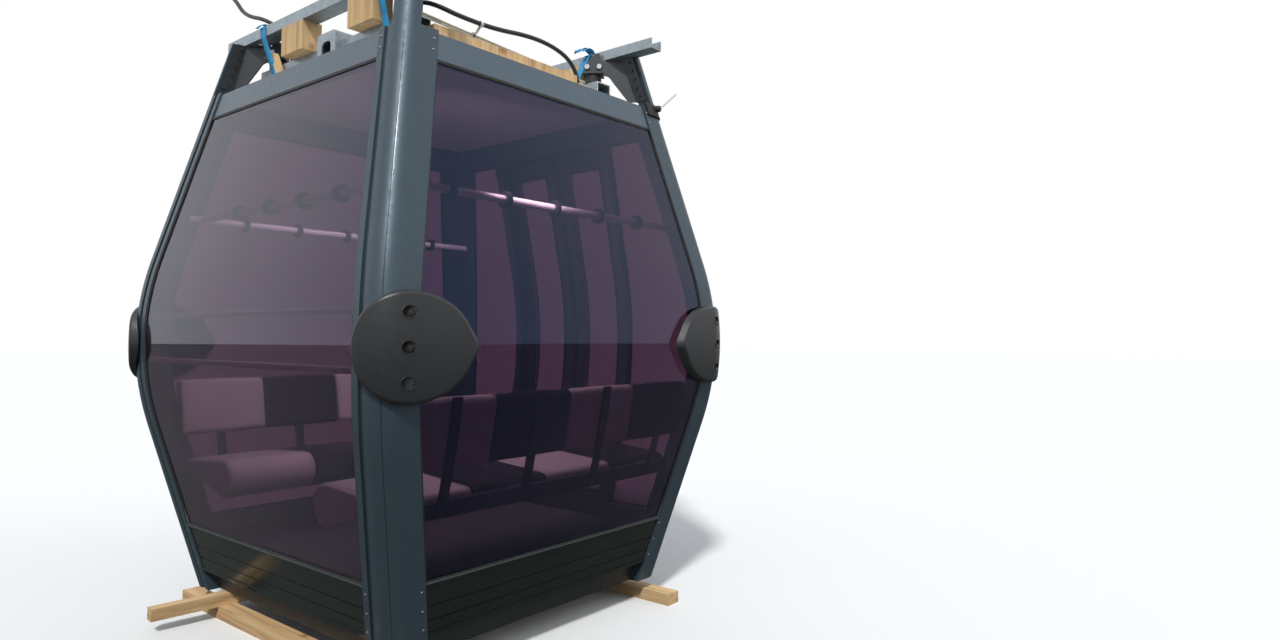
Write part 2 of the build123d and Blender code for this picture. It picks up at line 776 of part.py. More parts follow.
# Knee gussets: a diagonal web with a cut-out below, an angle around the post's inner corner and a
# foot on a damper
foot_low = beam_bottom - gusset_foot_drop
gusset_low = roof_top + gusset_bottom_above_roof
gusset_top = beam_bottom + gusset_rise
damper_place = (half_length - gusset_foot_inset, arm_spacing / 2)
turn = math.radians(gusset_turn)
gusset_plane = Plane(
    origin=(*damper_place, 0),
    x_dir=(math.cos(turn), math.sin(turn), 0),
    z_dir=(math.sin(turn), -math.cos(turn), 0),
)
half_foot = gusset_foot_length / 2
beam_reach = (beam_outside_arm - beam_width / 2 - gusset_thickness) / math.sin(turn)
flange_outer = -post_depth - piece_play
flange_inner = flange_outer - gusset_thickness
with BuildPart() as knee_gusset:
    with BuildSketch(gusset_plane):
        with BuildLine():
            slope_top = (gusset_slope_start, foot_low - half_foot / 2)
            Polyline(
                (half_foot, foot_low),
                (-half_foot, foot_low),
                (-half_foot, beam_bottom - gusset_end_drop),
                (beam_reach / 4, gusset_top),
                (beam_reach, gusset_top),
                (beam_reach, beam_bottom),
                (2 * gusset_slope_end, beam_bottom),
                (2 * gusset_slope_end, gusset_low),
                (gusset_slope_end, gusset_low),
                slope_top,
            )
            ThreePointArc(slope_top, (0.6 * slope_top[0] + 0.4 * half_foot, foot_low - half_foot / 8),
                          (half_foot, foot_low))
        make_face()
        with Locations((0, beam_bottom - gusset_rise)):
            with GridLocations(gusset_bolt_pitch, 0, 2, 1):
                Circle(gusset_bolt_diameter / 2, mode=Mode.SUBTRACT)
    extrude(amount=gusset_thickness / 2, both=True)
    with BuildSketch(Plane.XY.offset(foot_low)):
        with Locations(Location(damper_place, gusset_turn)):
            Rectangle(gusset_foot_length, gusset_foot_width)
    extrude(amount=gusset_thickness)
    add(corner_column(-gusset_flange_inset, flange_inner, -gusset_flange_inset, flange_inner,
                      gusset_low, beam_bottom))
    add(corner_column(post_leg, flange_outer, post_leg, flange_outer, gusset_low - 1, beam_bottom + 1),
        mode=Mode.SUBTRACT)

with BuildPart() as knee_gussets:
    add(knee_gusset.part)
    mirror(about=Plane.XZ)
    mirror(about=Plane.YZ)
save(knee_gussets.part, "knee_gussets")

with BuildPart() as dampers:
    with BuildSketch(Plane.XY.offset(arm_top)):
        with GridLocations(2 * damper_place[0], 2 * damper_place[1], 2, 2):
            Circle(damper_diameter / 2)
    extrude(amount=foot_low - arm_top)
save(dampers.part, "dampers")

# Cable: out of the roof, along the front plank, over the window side and back into the roof
with BuildPart() as roof_cable:
    with BuildLine() as cable_line:
        FilletPolyline(*cable_route, radius=cable_bend)
    with BuildSketch(Plane(origin=cable_line.line @ 0, z_dir=cable_line.line % 0)):
        Circle(cable_diameter / 2)
    sweep(path=cable_line.line)
save(roof_cable.part, "roof_cable")

# Benches along both end windows: a rail with wall uprights and a bracket behind each seat
seat_top = floor_top + seat_height
bench_rail_top = seat_top - bench_rail_drop
bench_rail_low = bench_rail_top - bench_rail_height
backrest_low = seat_top + backrest_rise
backrest_top = backrest_low + backrest_height
upright_inner = -upright_setback - upright_thickness
seat_places = [(place - (seats_a_bench - 1) / 2) * seat_pitch for place in range(seats_a_bench)]
rail_outer = wall_at(half_length, upright_inner, bench_rail_low) + upright_thickness
with BuildPart() as bench_frame:
    with BuildSketch(Plane.XZ):
        with Locations((rail_outer - bench_rail_width / 2, (bench_rail_low + bench_rail_top) / 2)):
            Rectangle(bench_rail_width, bench_rail_height)
    extrude(amount=body_width / 2, both=True)
    extrude(wall_trunk(Plane.YZ, half_width, -post_leg - piece_play, bench_rail_low, bench_rail_top),
            amount=reach, both=True, mode=Mode.INTERSECT)
    for place in seat_places:
        extrude(
            wall_band(Plane.XZ.offset(-place), half_length, -upright_setback, upright_inner,
                      bench_rail_low, backrest_top),
            amount=upright_width / 2, both=True,
        )
        with BuildSketch(Plane.XZ.offset(-place)):
            with BuildLine():
                Polyline(
                    (seat_rear + piece_play, bench_rail_low),
                    (seat_rear + piece_play, bench_rail_top),
                    (rail_outer - 1, bench_rail_top),
                    (rail_outer - 1, bench_rail_low),
                    close=True,
                )
            make_face()
        extrude(amount=seat_bracket_width / 2, both=True)
save(bench_frame.part, "bench_frame_front")
save(mirror(bench_frame.part, about=Plane.YZ), "bench_frame_back")

# Seats: cushions with a rolled front edge, and slim backrests that follow the wall
seat_roll = seat_roll_diameter / 2
seat_tail = seat_rear_diameter / 2
roll_middle = (seat_front + seat_roll, seat_top - seat_roll)
tail_x = seat_rear - seat_tail
tail_middle = (tail_x, seat_top - seat_tail - (tail_x - roll_middle[0]) * math.sin(math.radians(seat_slope)))
backrest_round = backrest_thickness / 2
backrest_setback = upright_inner - piece_play - backrest_round / math.cos(math.radians(lower_lean))
colours = {"light": seat_places[0::2], "dark": seat_places[1::2]}
for colour, places in colours.items():
    with BuildPart() as cushions:
        for place in places:
            with BuildSketch(Plane.XZ.offset(-place)):
                with Locations(roll_middle):
                    Circle(seat_roll)
                with Locations(tail_middle):
                    Circle(seat_tail)
                make_hull()
            extrude(amount=(seat_pitch - seat_gap) / 2, both=True)
        mirror(about=Plane.YZ)
    with BuildPart() as backrests:
        for place in places:
            with BuildSketch(Plane.XZ.offset(-place)):
                for height in (backrest_low + backrest_round, backrest_top - backrest_round):
                    with Locations((wall_at(half_length, backrest_setback, height), height)):
                        Circle(backrest_round)
                make_hull()
            extrude(amount=(seat_pitch - seat_gap) / 2, both=True)
        mirror(about=Plane.YZ)
    save(cushions.part, f"cushions_{colour}")
    save(backrests.part, f"backrests_{colour}")

# Grab rail: one tube along each end window and one along the side window, carried by the posts
grab_height = waist + grab_rail_above_waist
grab_x = wall_at(half_length, -grab_rail_end_inset, grab_height)
grab_y = -wall_at(half_width, -grab_rail_side_inset, grab_height)
with BuildPart() as grab_rail:
    with BuildSketch(Plane.XZ):
        with Locations((grab_x, grab_height), (-grab_x, grab_height)):
            Circle(grab_rail_diameter / 2)
    extrude(amount=body_width / 2, both=True)
    extrude(
        wall_trunk(Plane.YZ, half_width, -post_depth, grab_height - grab_rail_diameter,
                   grab_height + grab_rail_diameter),
        amount=reach, both=True, mode=Mode.INTERSECT,
    )
    with BuildSketch(Plane.YZ.offset(-grab_x)):
        with Locations((grab_y, grab_height)):
            Circle(grab_rail_diameter / 2)
    extrude(amount=2 * grab_x)
save(grab_rail.part, "grab_rail")

# Grip rings on the grab rail
end_disc_places = [(place - 2) * disc_pitch for place in range(5)]
side_disc_places = [(place - 1.5) * disc_pitch for place in range(4)]
disc_bore = grab_rail_diameter / 2 + piece_play
with BuildPart() as grip_rings:
    for place in end_disc_places:
        with BuildSketch(Plane.XZ.offset(-place)):
            with Locations((grab_x, grab_height), (-grab_x, grab_height)):
                Circle(disc_diameter / 2)
                Circle(disc_bore, mode=Mode.SUBTRACT)
        extrude(amount=disc_thickness / 2, both=True)
    for place in side_disc_places:
        with BuildSketch(Plane.YZ.offset(place)):
            with Locations((grab_y, grab_height)):
                Circle(disc_diameter / 2)
                Circle(disc_bore, mode=Mode.SUBTRACT)
        extrude(amount=disc_thickness / 2, both=True)
save(grip_rings.part, "grip_rings")

# Two rails across the side window, between the posts
with BuildPart() as window_rails:
    with BuildSketch(Plane.YZ):
        for rise in window_rail_heights:
            with Locations((-wall_at(half_width, -post_depth / 2, waist + rise), waist + rise)):
                Circle(window_rail_diameter / 2)
    extrude(amount=body_length / 2, both=True)
    rail_low = waist + window_rail_heights[1] - window_rail_diameter
    rail_high = waist + window_rail_heights[0] + window_rail_diameter
    extrude(
        wall_trunk(Plane.XZ, half_length, -post_leg, rail_low, rail_high),
        amount=reach, both=True, mode=Mode.INTERSECT,
    )
save(window_rails.part, "window_rails")
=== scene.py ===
"""Looks of the cable car cabin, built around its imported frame. All sizes are in metres."""
import math

import bmesh
import bpy
from mathutils import Matrix, Vector


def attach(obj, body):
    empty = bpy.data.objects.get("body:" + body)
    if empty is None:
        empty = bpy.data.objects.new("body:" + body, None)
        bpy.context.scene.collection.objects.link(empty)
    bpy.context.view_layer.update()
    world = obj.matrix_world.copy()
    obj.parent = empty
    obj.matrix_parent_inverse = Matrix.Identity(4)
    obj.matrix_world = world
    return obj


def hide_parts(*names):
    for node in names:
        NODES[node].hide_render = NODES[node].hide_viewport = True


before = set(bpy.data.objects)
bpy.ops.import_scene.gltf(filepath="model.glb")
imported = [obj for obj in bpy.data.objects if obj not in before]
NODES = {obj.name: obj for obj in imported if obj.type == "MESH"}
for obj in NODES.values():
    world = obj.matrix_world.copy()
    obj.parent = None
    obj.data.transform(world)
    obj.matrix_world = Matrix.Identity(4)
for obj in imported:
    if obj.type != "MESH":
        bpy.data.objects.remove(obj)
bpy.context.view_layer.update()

# Ends and sides of the cabin, as signs of X and Y, with their names
ENDS = ((1, "front"), (-1, "back"))
SIDES = ((1, "door"), (-1, "window"))
CORNERS = [(end, side) for end, _ in ENDS for side, _ in SIDES]
DIAGONAL = 1 / math.sqrt(2)

# Walls: both lean in from the waist, with one bend there
HALF_LENGTH = 1.045
HALF_WIDTH = 1.005
UPPER_LEAN = math.radians(12.6)
LOWER_LEAN = math.radians(13.45)
BEND_RADIUS = 1.75
WAIST = 1.295
POST_LEG = 0.152
POST_DEPTH = 0.07
POST_NOSE_OFFSET = -0.068
POST_NOSE_RADIUS = 0.0745
GLASS_LOW = 0.420
GLASS_HIGH = 2.370
HEADER_TOP = 2.483
FLOOR_TOP = 0.345
SKIRT_LOW = 0.208

# Roof: arms, gussets and dampers
ARM_Y = 0.565
ARM_END = 0.620
ARM_HALF = 0.050
ARM_LOW = 2.545
ARM_TOP = 2.625
FLANGE_INNER = 0.0803
FLANGE_MIDDLE = 0.041
GUSSET_TURN = math.radians(35)
GUSSET_BOLT_Z = 2.725
GUSSET_BOLT_PITCH = 0.064
DAMPER_X = 0.548

# Doors
DOOR_GAP = 0.004
JAMB_X = 0.452
LEAF_OUTER = 0.048
LEAF_THICKNESS = 0.032
LEAF_LOW = 0.302
LEAF_HIGH = 2.377
DOOR_WINDOW_X = 0.212
DOOR_WINDOW_HALF = 0.126
DOOR_WINDOW_LOW = 0.452
DOOR_WINDOW_HIGH = 2.267
DOOR_WINDOW_CORNER = 0.03

# Waist covers: their drop below the waist, round face, outer line and three holes
COVER_DROP = 0.016
COVER_ROUND = 0.160
COVER_ROUND_MIDDLE = 0.090
COVER_OUTSIDE = 0.047
COVER_HOLE_FLOOR = -0.044
COVER_HOLE_RADIUS = 0.023
COVER_HOLE_PITCH = 0.118
COVER_RIM_RADIUS = 0.0016

# Seats
SEAT_PITCH = 0.416
SEAT_HALF = 0.206
SEAT_TOP = 0.749
ROLL_RADIUS = 0.086
TAIL_RADIUS = 0.030
ROLL_X = 0.431
TAIL_X = 0.782
TAIL_DROP = 0.0245
BACK_LOW = 0.824
BACK_HIGH = 1.094
BACK_RADIUS = 0.031
BACK_SETBACK = -0.1022
PAD_EDGE = 0.016
PAD_CROWN = 0.0022
SEAM_RADIUS = 0.0016

# Rubber beads and strips, and the count of steps up a bent wall
GASKET_RADIUS = 0.0052
GASKET_INSET = 0.004
GASKET_OFFSET = -0.001
DOOR_SEAL_RADIUS = 0.0055
PANE_STEPS = 26
SEAL_STEPS = 30

# Ribs of the floor covering
RIB_PITCH = 0.012
RIB_HEIGHT = 0.0022

# Clamp on the head of the front door post
CLAMP_LOW = 2.446
CLAMP_HIGH = 2.508
CLAMP_THICKNESS = 0.010
KNOB_Z = 2.490

# Camera of the photograph
FRAME_WIDTH_PX = 1280
FOCAL_PX = 804.0
OPTICAL_AXIS_UP_PX = 26.0
SENSOR_MM = 36.0
CAMERA_PLACE = Vector((3.345, -2.515, 1.3237))
CAMERA_YAW = math.radians(38.806)
CAMERA_PITCH = math.radians(2.911)
CAMERA_ROLL = math.radians(0.235)


def lean_in(z):
    """How far the walls have leaned in at a height."""
    rise = abs(z - WAIST)
    lean = UPPER_LEAN if z > WAIST else LOWER_LEAN
    bend = BEND_RADIUS * math.sin(lean)
    if rise < bend:
        return BEND_RADIUS - math.sqrt(BEND_RADIUS ** 2 - rise ** 2)
    return BEND_RADIUS * (1 - math.cos(lean)) + (rise - bend) * math.tan(lean)


def wall(half, offset, z):
    """Distance of a wall line from the middle plane at a height."""
    return half + offset - lean_in(z)


def steps(low, high, count):
    """Evenly spaced values, both ends included."""
    return [low + (high - low) * i / (count - 1) for i in range(count)]


def mix(a, b, t):
    """The value a share t of the way from one number to another."""
    return a + (b - a) * t


def turn_angles(count):
    """Evenly spaced angles around a circle."""
    return [2 * math.pi * i / count for i in range(count)]


# Camera

def make_camera():
    """The photograph's camera: its place, direction and shift."""
    data = bpy.data.cameras.new("photo_camera")
    data.sensor_width = SENSOR_MM
    data.lens = FOCAL_PX / FRAME_WIDTH_PX * SENSOR_MM
    data.shift_y = -OPTICAL_AXIS_UP_PX / FRAME_WIDTH_PX
    data.clip_end = 200
    camera = bpy.data.objects.new("photo_camera", data)
    bpy.context.scene.collection.objects.link(camera)
    forward = Vector((
        -math.sin(CAMERA_YAW) * math.cos(CAMERA_PITCH),
        math.cos(CAMERA_YAW) * math.cos(CAMERA_PITCH),
        math.sin(CAMERA_PITCH),
    ))
    level_right = Vector((math.cos(CAMERA_YAW), math.sin(CAMERA_YAW), 0))
    level_up = level_right.cross(forward)
    right = math.cos(CAMERA_ROLL) * level_right + math.sin(CAMERA_ROLL) * level_up
    up = -math.sin(CAMERA_ROLL) * level_right + math.cos(CAMERA_ROLL) * level_up
    turn = Matrix((right, up, -forward)).transposed()
    camera.matrix_world = Matrix.Translation(CAMERA_PLACE) @ turn.to_4x4()
    bpy.context.scene.camera = camera


# Cable

CABLE_DIAMETER = 0.020
CABLE_ROUTE = (
    (0.700, 0.290, 2.4953), (0.700, 0.288, 2.570), (0.700, 0.225, 2.642),
    (0.700, 0.110, 2.674), (0.698, -0.040, 2.678), (0.690, -0.240, 2.652),
    (0.674, -0.420, 2.658), (0.655, -0.497, 2.676), (0.594, -0.527, 2.702),
    (0.505, -0.500, 2.725), (0.330, -0.500, 2.850), (0.080, -0.515, 3.010),
    (-0.220, -0.545, 3.130), (-0.560, -0.595, 3.205), (-0.812, -0.619, 3.218),
    (-0.892, -0.628, 3.222), (-0.943, -0.632, 3.163), (-0.930, -0.635, 3.088),
    (-0.870, -0.639, 3.050), (-0.785, -0.627, 2.953), (-0.535, -0.630, 2.872),
    (-0.410, -0.500, 2.742), (-0.380, -0.430, 2.650), (-0.380, -0.430, 2.4953),
)


def make_cable(materials):
    """The stiff black cable: along the front of the roof, in an arch, and back into the roof."""
    data = bpy.data.curves.new("roof_cable_sheath", "CURVE")
    data.dimensions = "3D"
    data.bevel_depth = CABLE_DIAMETER / 2
    data.bevel_resolution = 6
    data.resolution_u = 12
    data.use_fill_caps = True
    line = data.splines.new("NURBS")
    line.points.add(len(CABLE_ROUTE) - 1)
    for point, place in zip(line.points, CABLE_ROUTE):
        point.co = (*place, 1)
    line.order_u = 3
    line.use_endpoint_u = True
    data.materials.append(materials["cable"])
    cable = bpy.data.objects.new("roof_cable_sheath", data)
    bpy.context.scene.collection.objects.link(cable)
    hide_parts("roof_cable")
    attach(cable, "cabin")


# Materials

def new_material(name):
    """A material with its Principled shader, and object coordinates in metres."""
    material = bpy.data.materials.new(name)
    material.use_nodes = True
    nodes = material.node_tree.nodes
    shader = nodes["Principled BSDF"]
    place = nodes.new("ShaderNodeTexCoord")
    return material, nodes, material.node_tree.links, shader, place.outputs["Object"]


def stretched(nodes, links, place, scale):
    """The coordinates scaled by three numbers."""
    mapping = nodes.new("ShaderNodeMapping")
    mapping.inputs["Scale"].default_value = scale
    links.new(place, mapping.inputs["Vector"])
    return mapping.outputs["Vector"]


def noise(nodes, links, place, scale, detail=3.0, roughness=0.55):
    """A noise texture's value."""
    texture = nodes.new("ShaderNodeTexNoise")
    texture.inputs["Scale"].default_value = scale
    texture.inputs["Detail"].default_value = detail
    texture.inputs["Roughness"].default_value = roughness
    links.new(place, texture.inputs["Vector"])
    return texture.outputs["Fac"]


def ramp(nodes, links, value, stops):
    """A colour ramp on a value."""
    node = nodes.new("ShaderNodeValToRGB")
    elements = node.color_ramp.elements
    while len(elements) < len(stops):
        elements.new(0.5)
    for element, (position, colour) in zip(elements, stops):
        element.position = position
        element.color = (*colour, 1)
    links.new(value, node.inputs["Fac"])
    return node.outputs["Color"]


def spread(nodes, links, value, low, high):
    """A 0 to 1 value spread between two numbers."""
    node = nodes.new("ShaderNodeMapRange")
    node.inputs["From Min"].default_value = 0.3
    node.inputs["From Max"].default_value = 0.7
    node.inputs["To Min"].default_value = low
    node.inputs["To Max"].default_value = high
    links.new(value, node.inputs["Value"])
    return node.outputs["Result"]


def bump(nodes, links, shader, value, distance, strength=1.0):
    """Height from a value, in metres."""
    node = nodes.new("ShaderNodeBump")
    node.inputs["Distance"].default_value = distance
    node.inputs["Strength"].default_value = strength
    links.new(value, node.inputs["Height"])
    links.new(node.outputs["Normal"], shader.inputs["Normal"])


def plain(name, colour, roughness, metallic=0.0, vary=0.12, vary_scale=3.0, grain=None,
          coat=0.0, rough_vary=0.06):
    """A surface with faint clouds in its colour and roughness; grain is (scale, height)."""
    material, nodes, links, shader, place = new_material(name)
    dark = [c * (1 - vary) for c in colour]
    light = [min(1, c * (1 + vary)) for c in colour]
    clouds = noise(nodes, links, place, vary_scale)
    links.new(ramp(nodes, links, clouds, [(0.3, dark), (0.7, light)]), shader.inputs["Base Color"])
    fine = noise(nodes, links, place, 45.0)
    links.new(spread(nodes, links, fine, roughness - rough_vary, roughness + rough_vary),
              shader.inputs["Roughness"])
    shader.inputs["Metallic"].default_value = metallic
    shader.inputs["Coat Weight"].default_value = coat
    shader.inputs["Coat Roughness"].default_value = 0.08
    if grain:
        bump(nodes, links, shader, noise(nodes, links, place, grain[0], 2.0), grain[1])
    return material


def wood(name, along):
    """Raw sawn softwood with its grain along an axis, darker late wood and a few knots."""
    material, nodes, links, shader, place = new_material(name)
    scale = [38.0, 38.0, 38.0]
    scale["xyz".index(along)] = 1.6
    grain = noise(nodes, links, stretched(nodes, links, place, scale), 1.0, 6.0, 0.62)
    colour = ramp(nodes, links, grain, [
        (0.30, (0.33, 0.19, 0.085)), (0.46, (0.56, 0.36, 0.17)),
        (0.62, (0.68, 0.47, 0.25)), (0.80, (0.60, 0.39, 0.19)),
    ])
    knots = nodes.new("ShaderNodeTexVoronoi")
    knots.inputs["Scale"].default_value = 4.3
    links.new(place, knots.inputs["Vector"])
    knot_shade = ramp(nodes, links, knots.outputs["Distance"],
                      [(0.05, (0.35, 0.2, 0.1)), (0.12, (1, 1, 1))])
    blend = nodes.new("ShaderNodeMix")
    blend.data_type = "RGBA"
    blend.blend_type = "MULTIPLY"
    blend.inputs["Factor"].default_value = 0.75
    links.new(colour, blend.inputs[6])
    links.new(knot_shade, blend.inputs[7])
    links.new(blend.outputs[2], shader.inputs["Base Color"])
    shader.inputs["Roughness"].default_value = 0.72
    bump(nodes, links, shader, grain, 0.0012)
    return material


def galvanised(name, colour):
    """Hot dip galvanised steel with spangles."""
    material, nodes, links, shader, place = new_material(name)
    cells = nodes.new("ShaderNodeTexVoronoi")
    cells.inputs["Scale"].default_value = 70.0
    links.new(place, cells.inputs["Vector"])
    shades = nodes.new("ShaderNodeSeparateColor")
    links.new(cells.outputs["Color"], shades.inputs["Color"])
    stain = noise(nodes, links, place, 9.0)
    add = nodes.new("ShaderNodeMath")
    add.operation = "MULTIPLY_ADD"
    add.inputs[1].default_value = 0.35
    links.new(shades.outputs["Red"], add.inputs[0])
    links.new(stain, add.inputs[2])
    dark = [c * 0.72 for c in colour]
    links.new(ramp(nodes, links, add.outputs["Value"], [(0.35, dark), (0.95, colour)]),
              shader.inputs["Base Color"])
    links.new(spread(nodes, links, stain, 0.34, 0.52), shader.inputs["Roughness"])
    shader.inputs["Metallic"].default_value = 0.8
    return material


def tinted_pane(name, colour):
    """Smoke tinted clear plastic: glossy, with its reflections tinted blue as a painted sky
    reflection, and a faint haze of dust.
    """
    material, nodes, links, shader, place = new_material(name)
    shader.inputs["Base Color"].default_value = (*colour, 1)
    shader.inputs["Transmission Weight"].default_value = 1.0
    shader.inputs["IOR"].default_value = 1.49
    # Painted reflection: the blue tint of the reflections stands in for a blue sky mirrored in the
    # panes.
    shader.inputs["Specular Tint"].default_value = (0.22, 0.44, 0.90, 1)
    haze = noise(nodes, links, place, 5.0, 6.0)
    links.new(spread(nodes, links, haze, 0.0, 0.02), shader.inputs["Roughness"])
    return material


def webbing(name, colour):
    """Woven strap: fine ribs across it, with soiled patches."""
    material, nodes, links, shader, place = new_material(name)
    soil = noise(nodes, links, place, 22.0)
    links.new(ramp(nodes, links, soil, [(0.3, [c * 0.6 for c in colour]), (0.6, colour)]),
              shader.inputs["Base Color"])
    ribs = nodes.new("ShaderNodeTexWave")
    ribs.inputs["Scale"].default_value = 95.0
    ribs.inputs["Distortion"].default_value = 0.6
    ribs.bands_direction = "Z"
    links.new(place, ribs.inputs["Vector"])
    bump(nodes, links, shader, ribs.outputs["Fac"], 0.0006)
    shader.inputs["Roughness"].default_value = 0.62
    shader.inputs["Sheen Weight"].default_value = 0.1
    return material


def make_materials():
    """Every material of the cabin, by name."""
    return {
        # Posts and headers wear the same paint in two copies: the posts' darker copy is painted
        # shade, and the headers' lighter copy is painted light.
        "post": plain("post_paint", (0.043, 0.068, 0.088), 0.46, metallic=0.35, vary=0.05,
                      grain=(900, 0.00004), coat=0.06),
        "header": plain("header_paint_lit_copy", (0.078, 0.112, 0.143), 0.38, metallic=0.45, vary=0.05,
                        grain=(900, 0.00004), coat=0.12),
        "skirt": plain("skirt_gloss", (0.006, 0.011, 0.009), 0.20, vary=0.2, coat=0.08,
                       rough_vary=0.015),
        "door": plain("door_paint", (0.03, 0.037, 0.044), 0.32, metallic=0.3, coat=0.2),
        "cover": plain("cover_plastic", (0.013, 0.015, 0.0175), 0.38, vary=0.10, vary_scale=7.0,
                       grain=(620, 0.00035)),
        "steel_black": plain("frame_steel", (0.03, 0.033, 0.036), 0.45, metallic=0.2,
                             grain=(300, 0.0002)),
        "gusset": plain("gusset_paint", (0.040, 0.044, 0.050), 0.42, metallic=0.25,
                        grain=(500, 0.0002)),
        "rubber": plain("black_rubber", (0.014, 0.014, 0.015), 0.62, grain=(400, 0.0002)),
        "gasket": plain("gasket_rubber", (0.010, 0.010, 0.011), 0.5),
        "roof": plain("roof_skin", (0.72, 0.74, 0.75), 0.35, vary=0.05),
        "floor": plain("floor_covering", (0.085, 0.083, 0.088), 0.6, vary=0.2, vary_scale=9.0),
        "vinyl_light": plain("vinyl_light", (0.52, 0.49, 0.50), 0.38, vary=0.05,
                             grain=(260, 0.0004)),
        "vinyl_dark": plain("vinyl_dark", (0.022, 0.022, 0.025), 0.40, vary=0.1,
                            grain=(260, 0.0004)),
        "rail": plain("rail_aluminium", (0.80, 0.80, 0.83), 0.34, metallic=0.25, vary=0.04),
        "bolt": plain("bolt_steel", (0.42, 0.43, 0.45), 0.35, metallic=0.9),
        "rivet": plain("rivet_steel", (0.20, 0.22, 0.24), 0.35, metallic=0.7),
        # The cover bolts' colour is partly their own black and partly painted shade of the holes
        # they sit in.
        "socket": plain("socket_bolt_and_hole_shade", (0.008, 0.008, 0.009), 0.45, metallic=0.3),
        "bolt_dark": plain("bolt_dark", (0.05, 0.05, 0.055), 0.35, metallic=0.7),
        "lip": plain("skirt_lip", (0.13, 0.16, 0.16), 0.32, metallic=0.5, coat=0.1,
                     rough_vary=0.015),
        "strap": webbing("strap_webbing", (0.0, 0.31, 0.62)),
        "cable": plain("cable_sheath", (0.022, 0.022, 0.024), 0.42),
        "white": plain("white_plastic", (0.66, 0.67, 0.66), 0.4),
        "rod": plain("cream_rod", (0.66, 0.62, 0.52), 0.45),
        "galvanised": galvanised("galvanised_steel", (0.37, 0.43, 0.475)),
        "wood_x": wood("timber_along_x", "x"),
        "wood_y": wood("timber_along_y", "y"),
        "wood_z": wood("timber_blocks", "z"),
        "pane": tinted_pane("tinted_pane", (0.215, 0.135, 0.190)),
    }


NODES_OF_MATERIAL = {
    "wood_x": ("lower_bearers",),
    "wood_y": ("upper_bearers",),
    "wood_z": ("packing_timbers",),
    "steel_black": ("edge_beams", "floor_joists"),
    "floor": ("floor_panel",),
    # Posts take the darker copy of their paint, painted shade; headers take the lighter copy,
    # painted light.
    "post": ("post_front_door", "post_back_door", "post_front_window", "post_back_window",
             "door_track", "door_guide"),
    "header": ("header_front", "header_back", "header_door", "header_window"),
    "skirt": ("skirt_front", "skirt_back", "skirt_window", "skirt_door"),
    "pane": ("pane_front", "pane_back", "pane_window", "door_side_panes", "door_pane_front",
             "door_pane_back"),
    "door": ("door_jambs", "door_leaf_front", "door_leaf_back"),
    "galvanised": ("door_hangers_front", "door_hangers_back", "roof_frame", "hanger_beam_door",
                   "hanger_beam_window"),
    "cover": ("waist_covers",),
    "roof": ("roof_panel",),
    "gusset": ("knee_gussets", "bench_frame_front", "bench_frame_back"),
    "rubber": ("dampers", "grip_rings"),
    "rail": ("grab_rail", "window_rails"),
}


def dress_nodes(materials):
    """Give each node that stays its material."""
    for key, names in NODES_OF_MATERIAL.items():
        for name in names:
            mesh = NODES[name].data
            mesh.materials.clear()
            mesh.materials.append(materials[key])


# Mesh helpers

def add_object(name, mesh, material, body="cabin", smooth=True):
    """Put a mesh in the scene as one piece that rides on a body."""
    piece = bpy.data.objects.new(name, mesh)
    bpy.context.scene.collection.objects.link(piece)
    mesh.materials.append(material)
    if smooth:
        for polygon in mesh.polygons:
            polygon.use_smooth = True
    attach(piece, body)
    return piece


def mesh_of(name, builder):
    """A mesh from a bmesh, with its faces turned outward."""
    bmesh.ops.recalc_face_normals(builder, faces=builder.faces)
    mesh = bpy.data.meshes.new(name)
    builder.to_mesh(mesh)
    builder.free()
    return mesh


def loft(builder, rings, loop=False):
    """Join rings of the same count of points into a skin, closed at its ends or into a loop."""
    made = [[builder.verts.new(p) for p in ring] for ring in rings]
    count = len(made[0])
    for near, far in zip(made, made[1:] + made[:1] if loop else made[1:]):
        for i in range(count):
            j = (i + 1) % count
            builder.faces.new((near[i], near[j], far[j], far[i]))
    if not loop:
        builder.faces.new(made[0])
        builder.faces.new(list(reversed(made[-1])))


def tube(name, points, radius, material, body="cabin", cyclic=False, sides=3):
    """A round bead or rod along points."""
    data = bpy.data.curves.new(name, "CURVE")
    data.dimensions = "3D"
    data.bevel_depth = radius
    data.bevel_resolution = sides
    data.use_fill_caps = True
    line = data.splines.new("POLY")
    line.points.add(len(points) - 1)
    for point, place in zip(line.points, points):
        point.co = (*place, 1)
    line.use_cyclic_u = cyclic
    data.materials.append(material)
    piece = bpy.data.objects.new(name, data)
    bpy.context.scene.collection.objects.link(piece)
    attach(piece, body)
    return piece


def head(builder, place, normal, radius, height, sides=6, dome=0.0):
    """One bolt or rivet head on a surface."""
    normal = Vector(normal).normalized()
    turn = normal.to_track_quat("Z", "Y").to_matrix()
    levels = [(radius, -0.001), (radius, height * 0.7), (radius * 0.86, height)]
    if dome:
        levels = [(radius, -0.001), (radius, height * 0.25), (radius * 0.8, height * 0.75),
                  (radius * 0.35, height)]
    rings = []
    for r, up in levels:
        rings.append([
            Vector(place) + turn @ Vector((r * math.cos(a), r * math.sin(a), up))
            for a in turn_angles(sides)
        ])
    loft(builder, rings)


def box(builder, low, high, turn=None, about=None):
    """A box between two corners, turned about a point where asked."""
    around = ((low[0], low[1]), (high[0], low[1]), (high[0], high[1]), (low[0], high[1]))
    corners = [Vector((x, y, z)) for z in (low[2], high[2]) for x, y in around]
    if turn:
        corners = [about + turn @ (c - about) for c in corners]
    loft(builder, [corners[:4], corners[4:]])


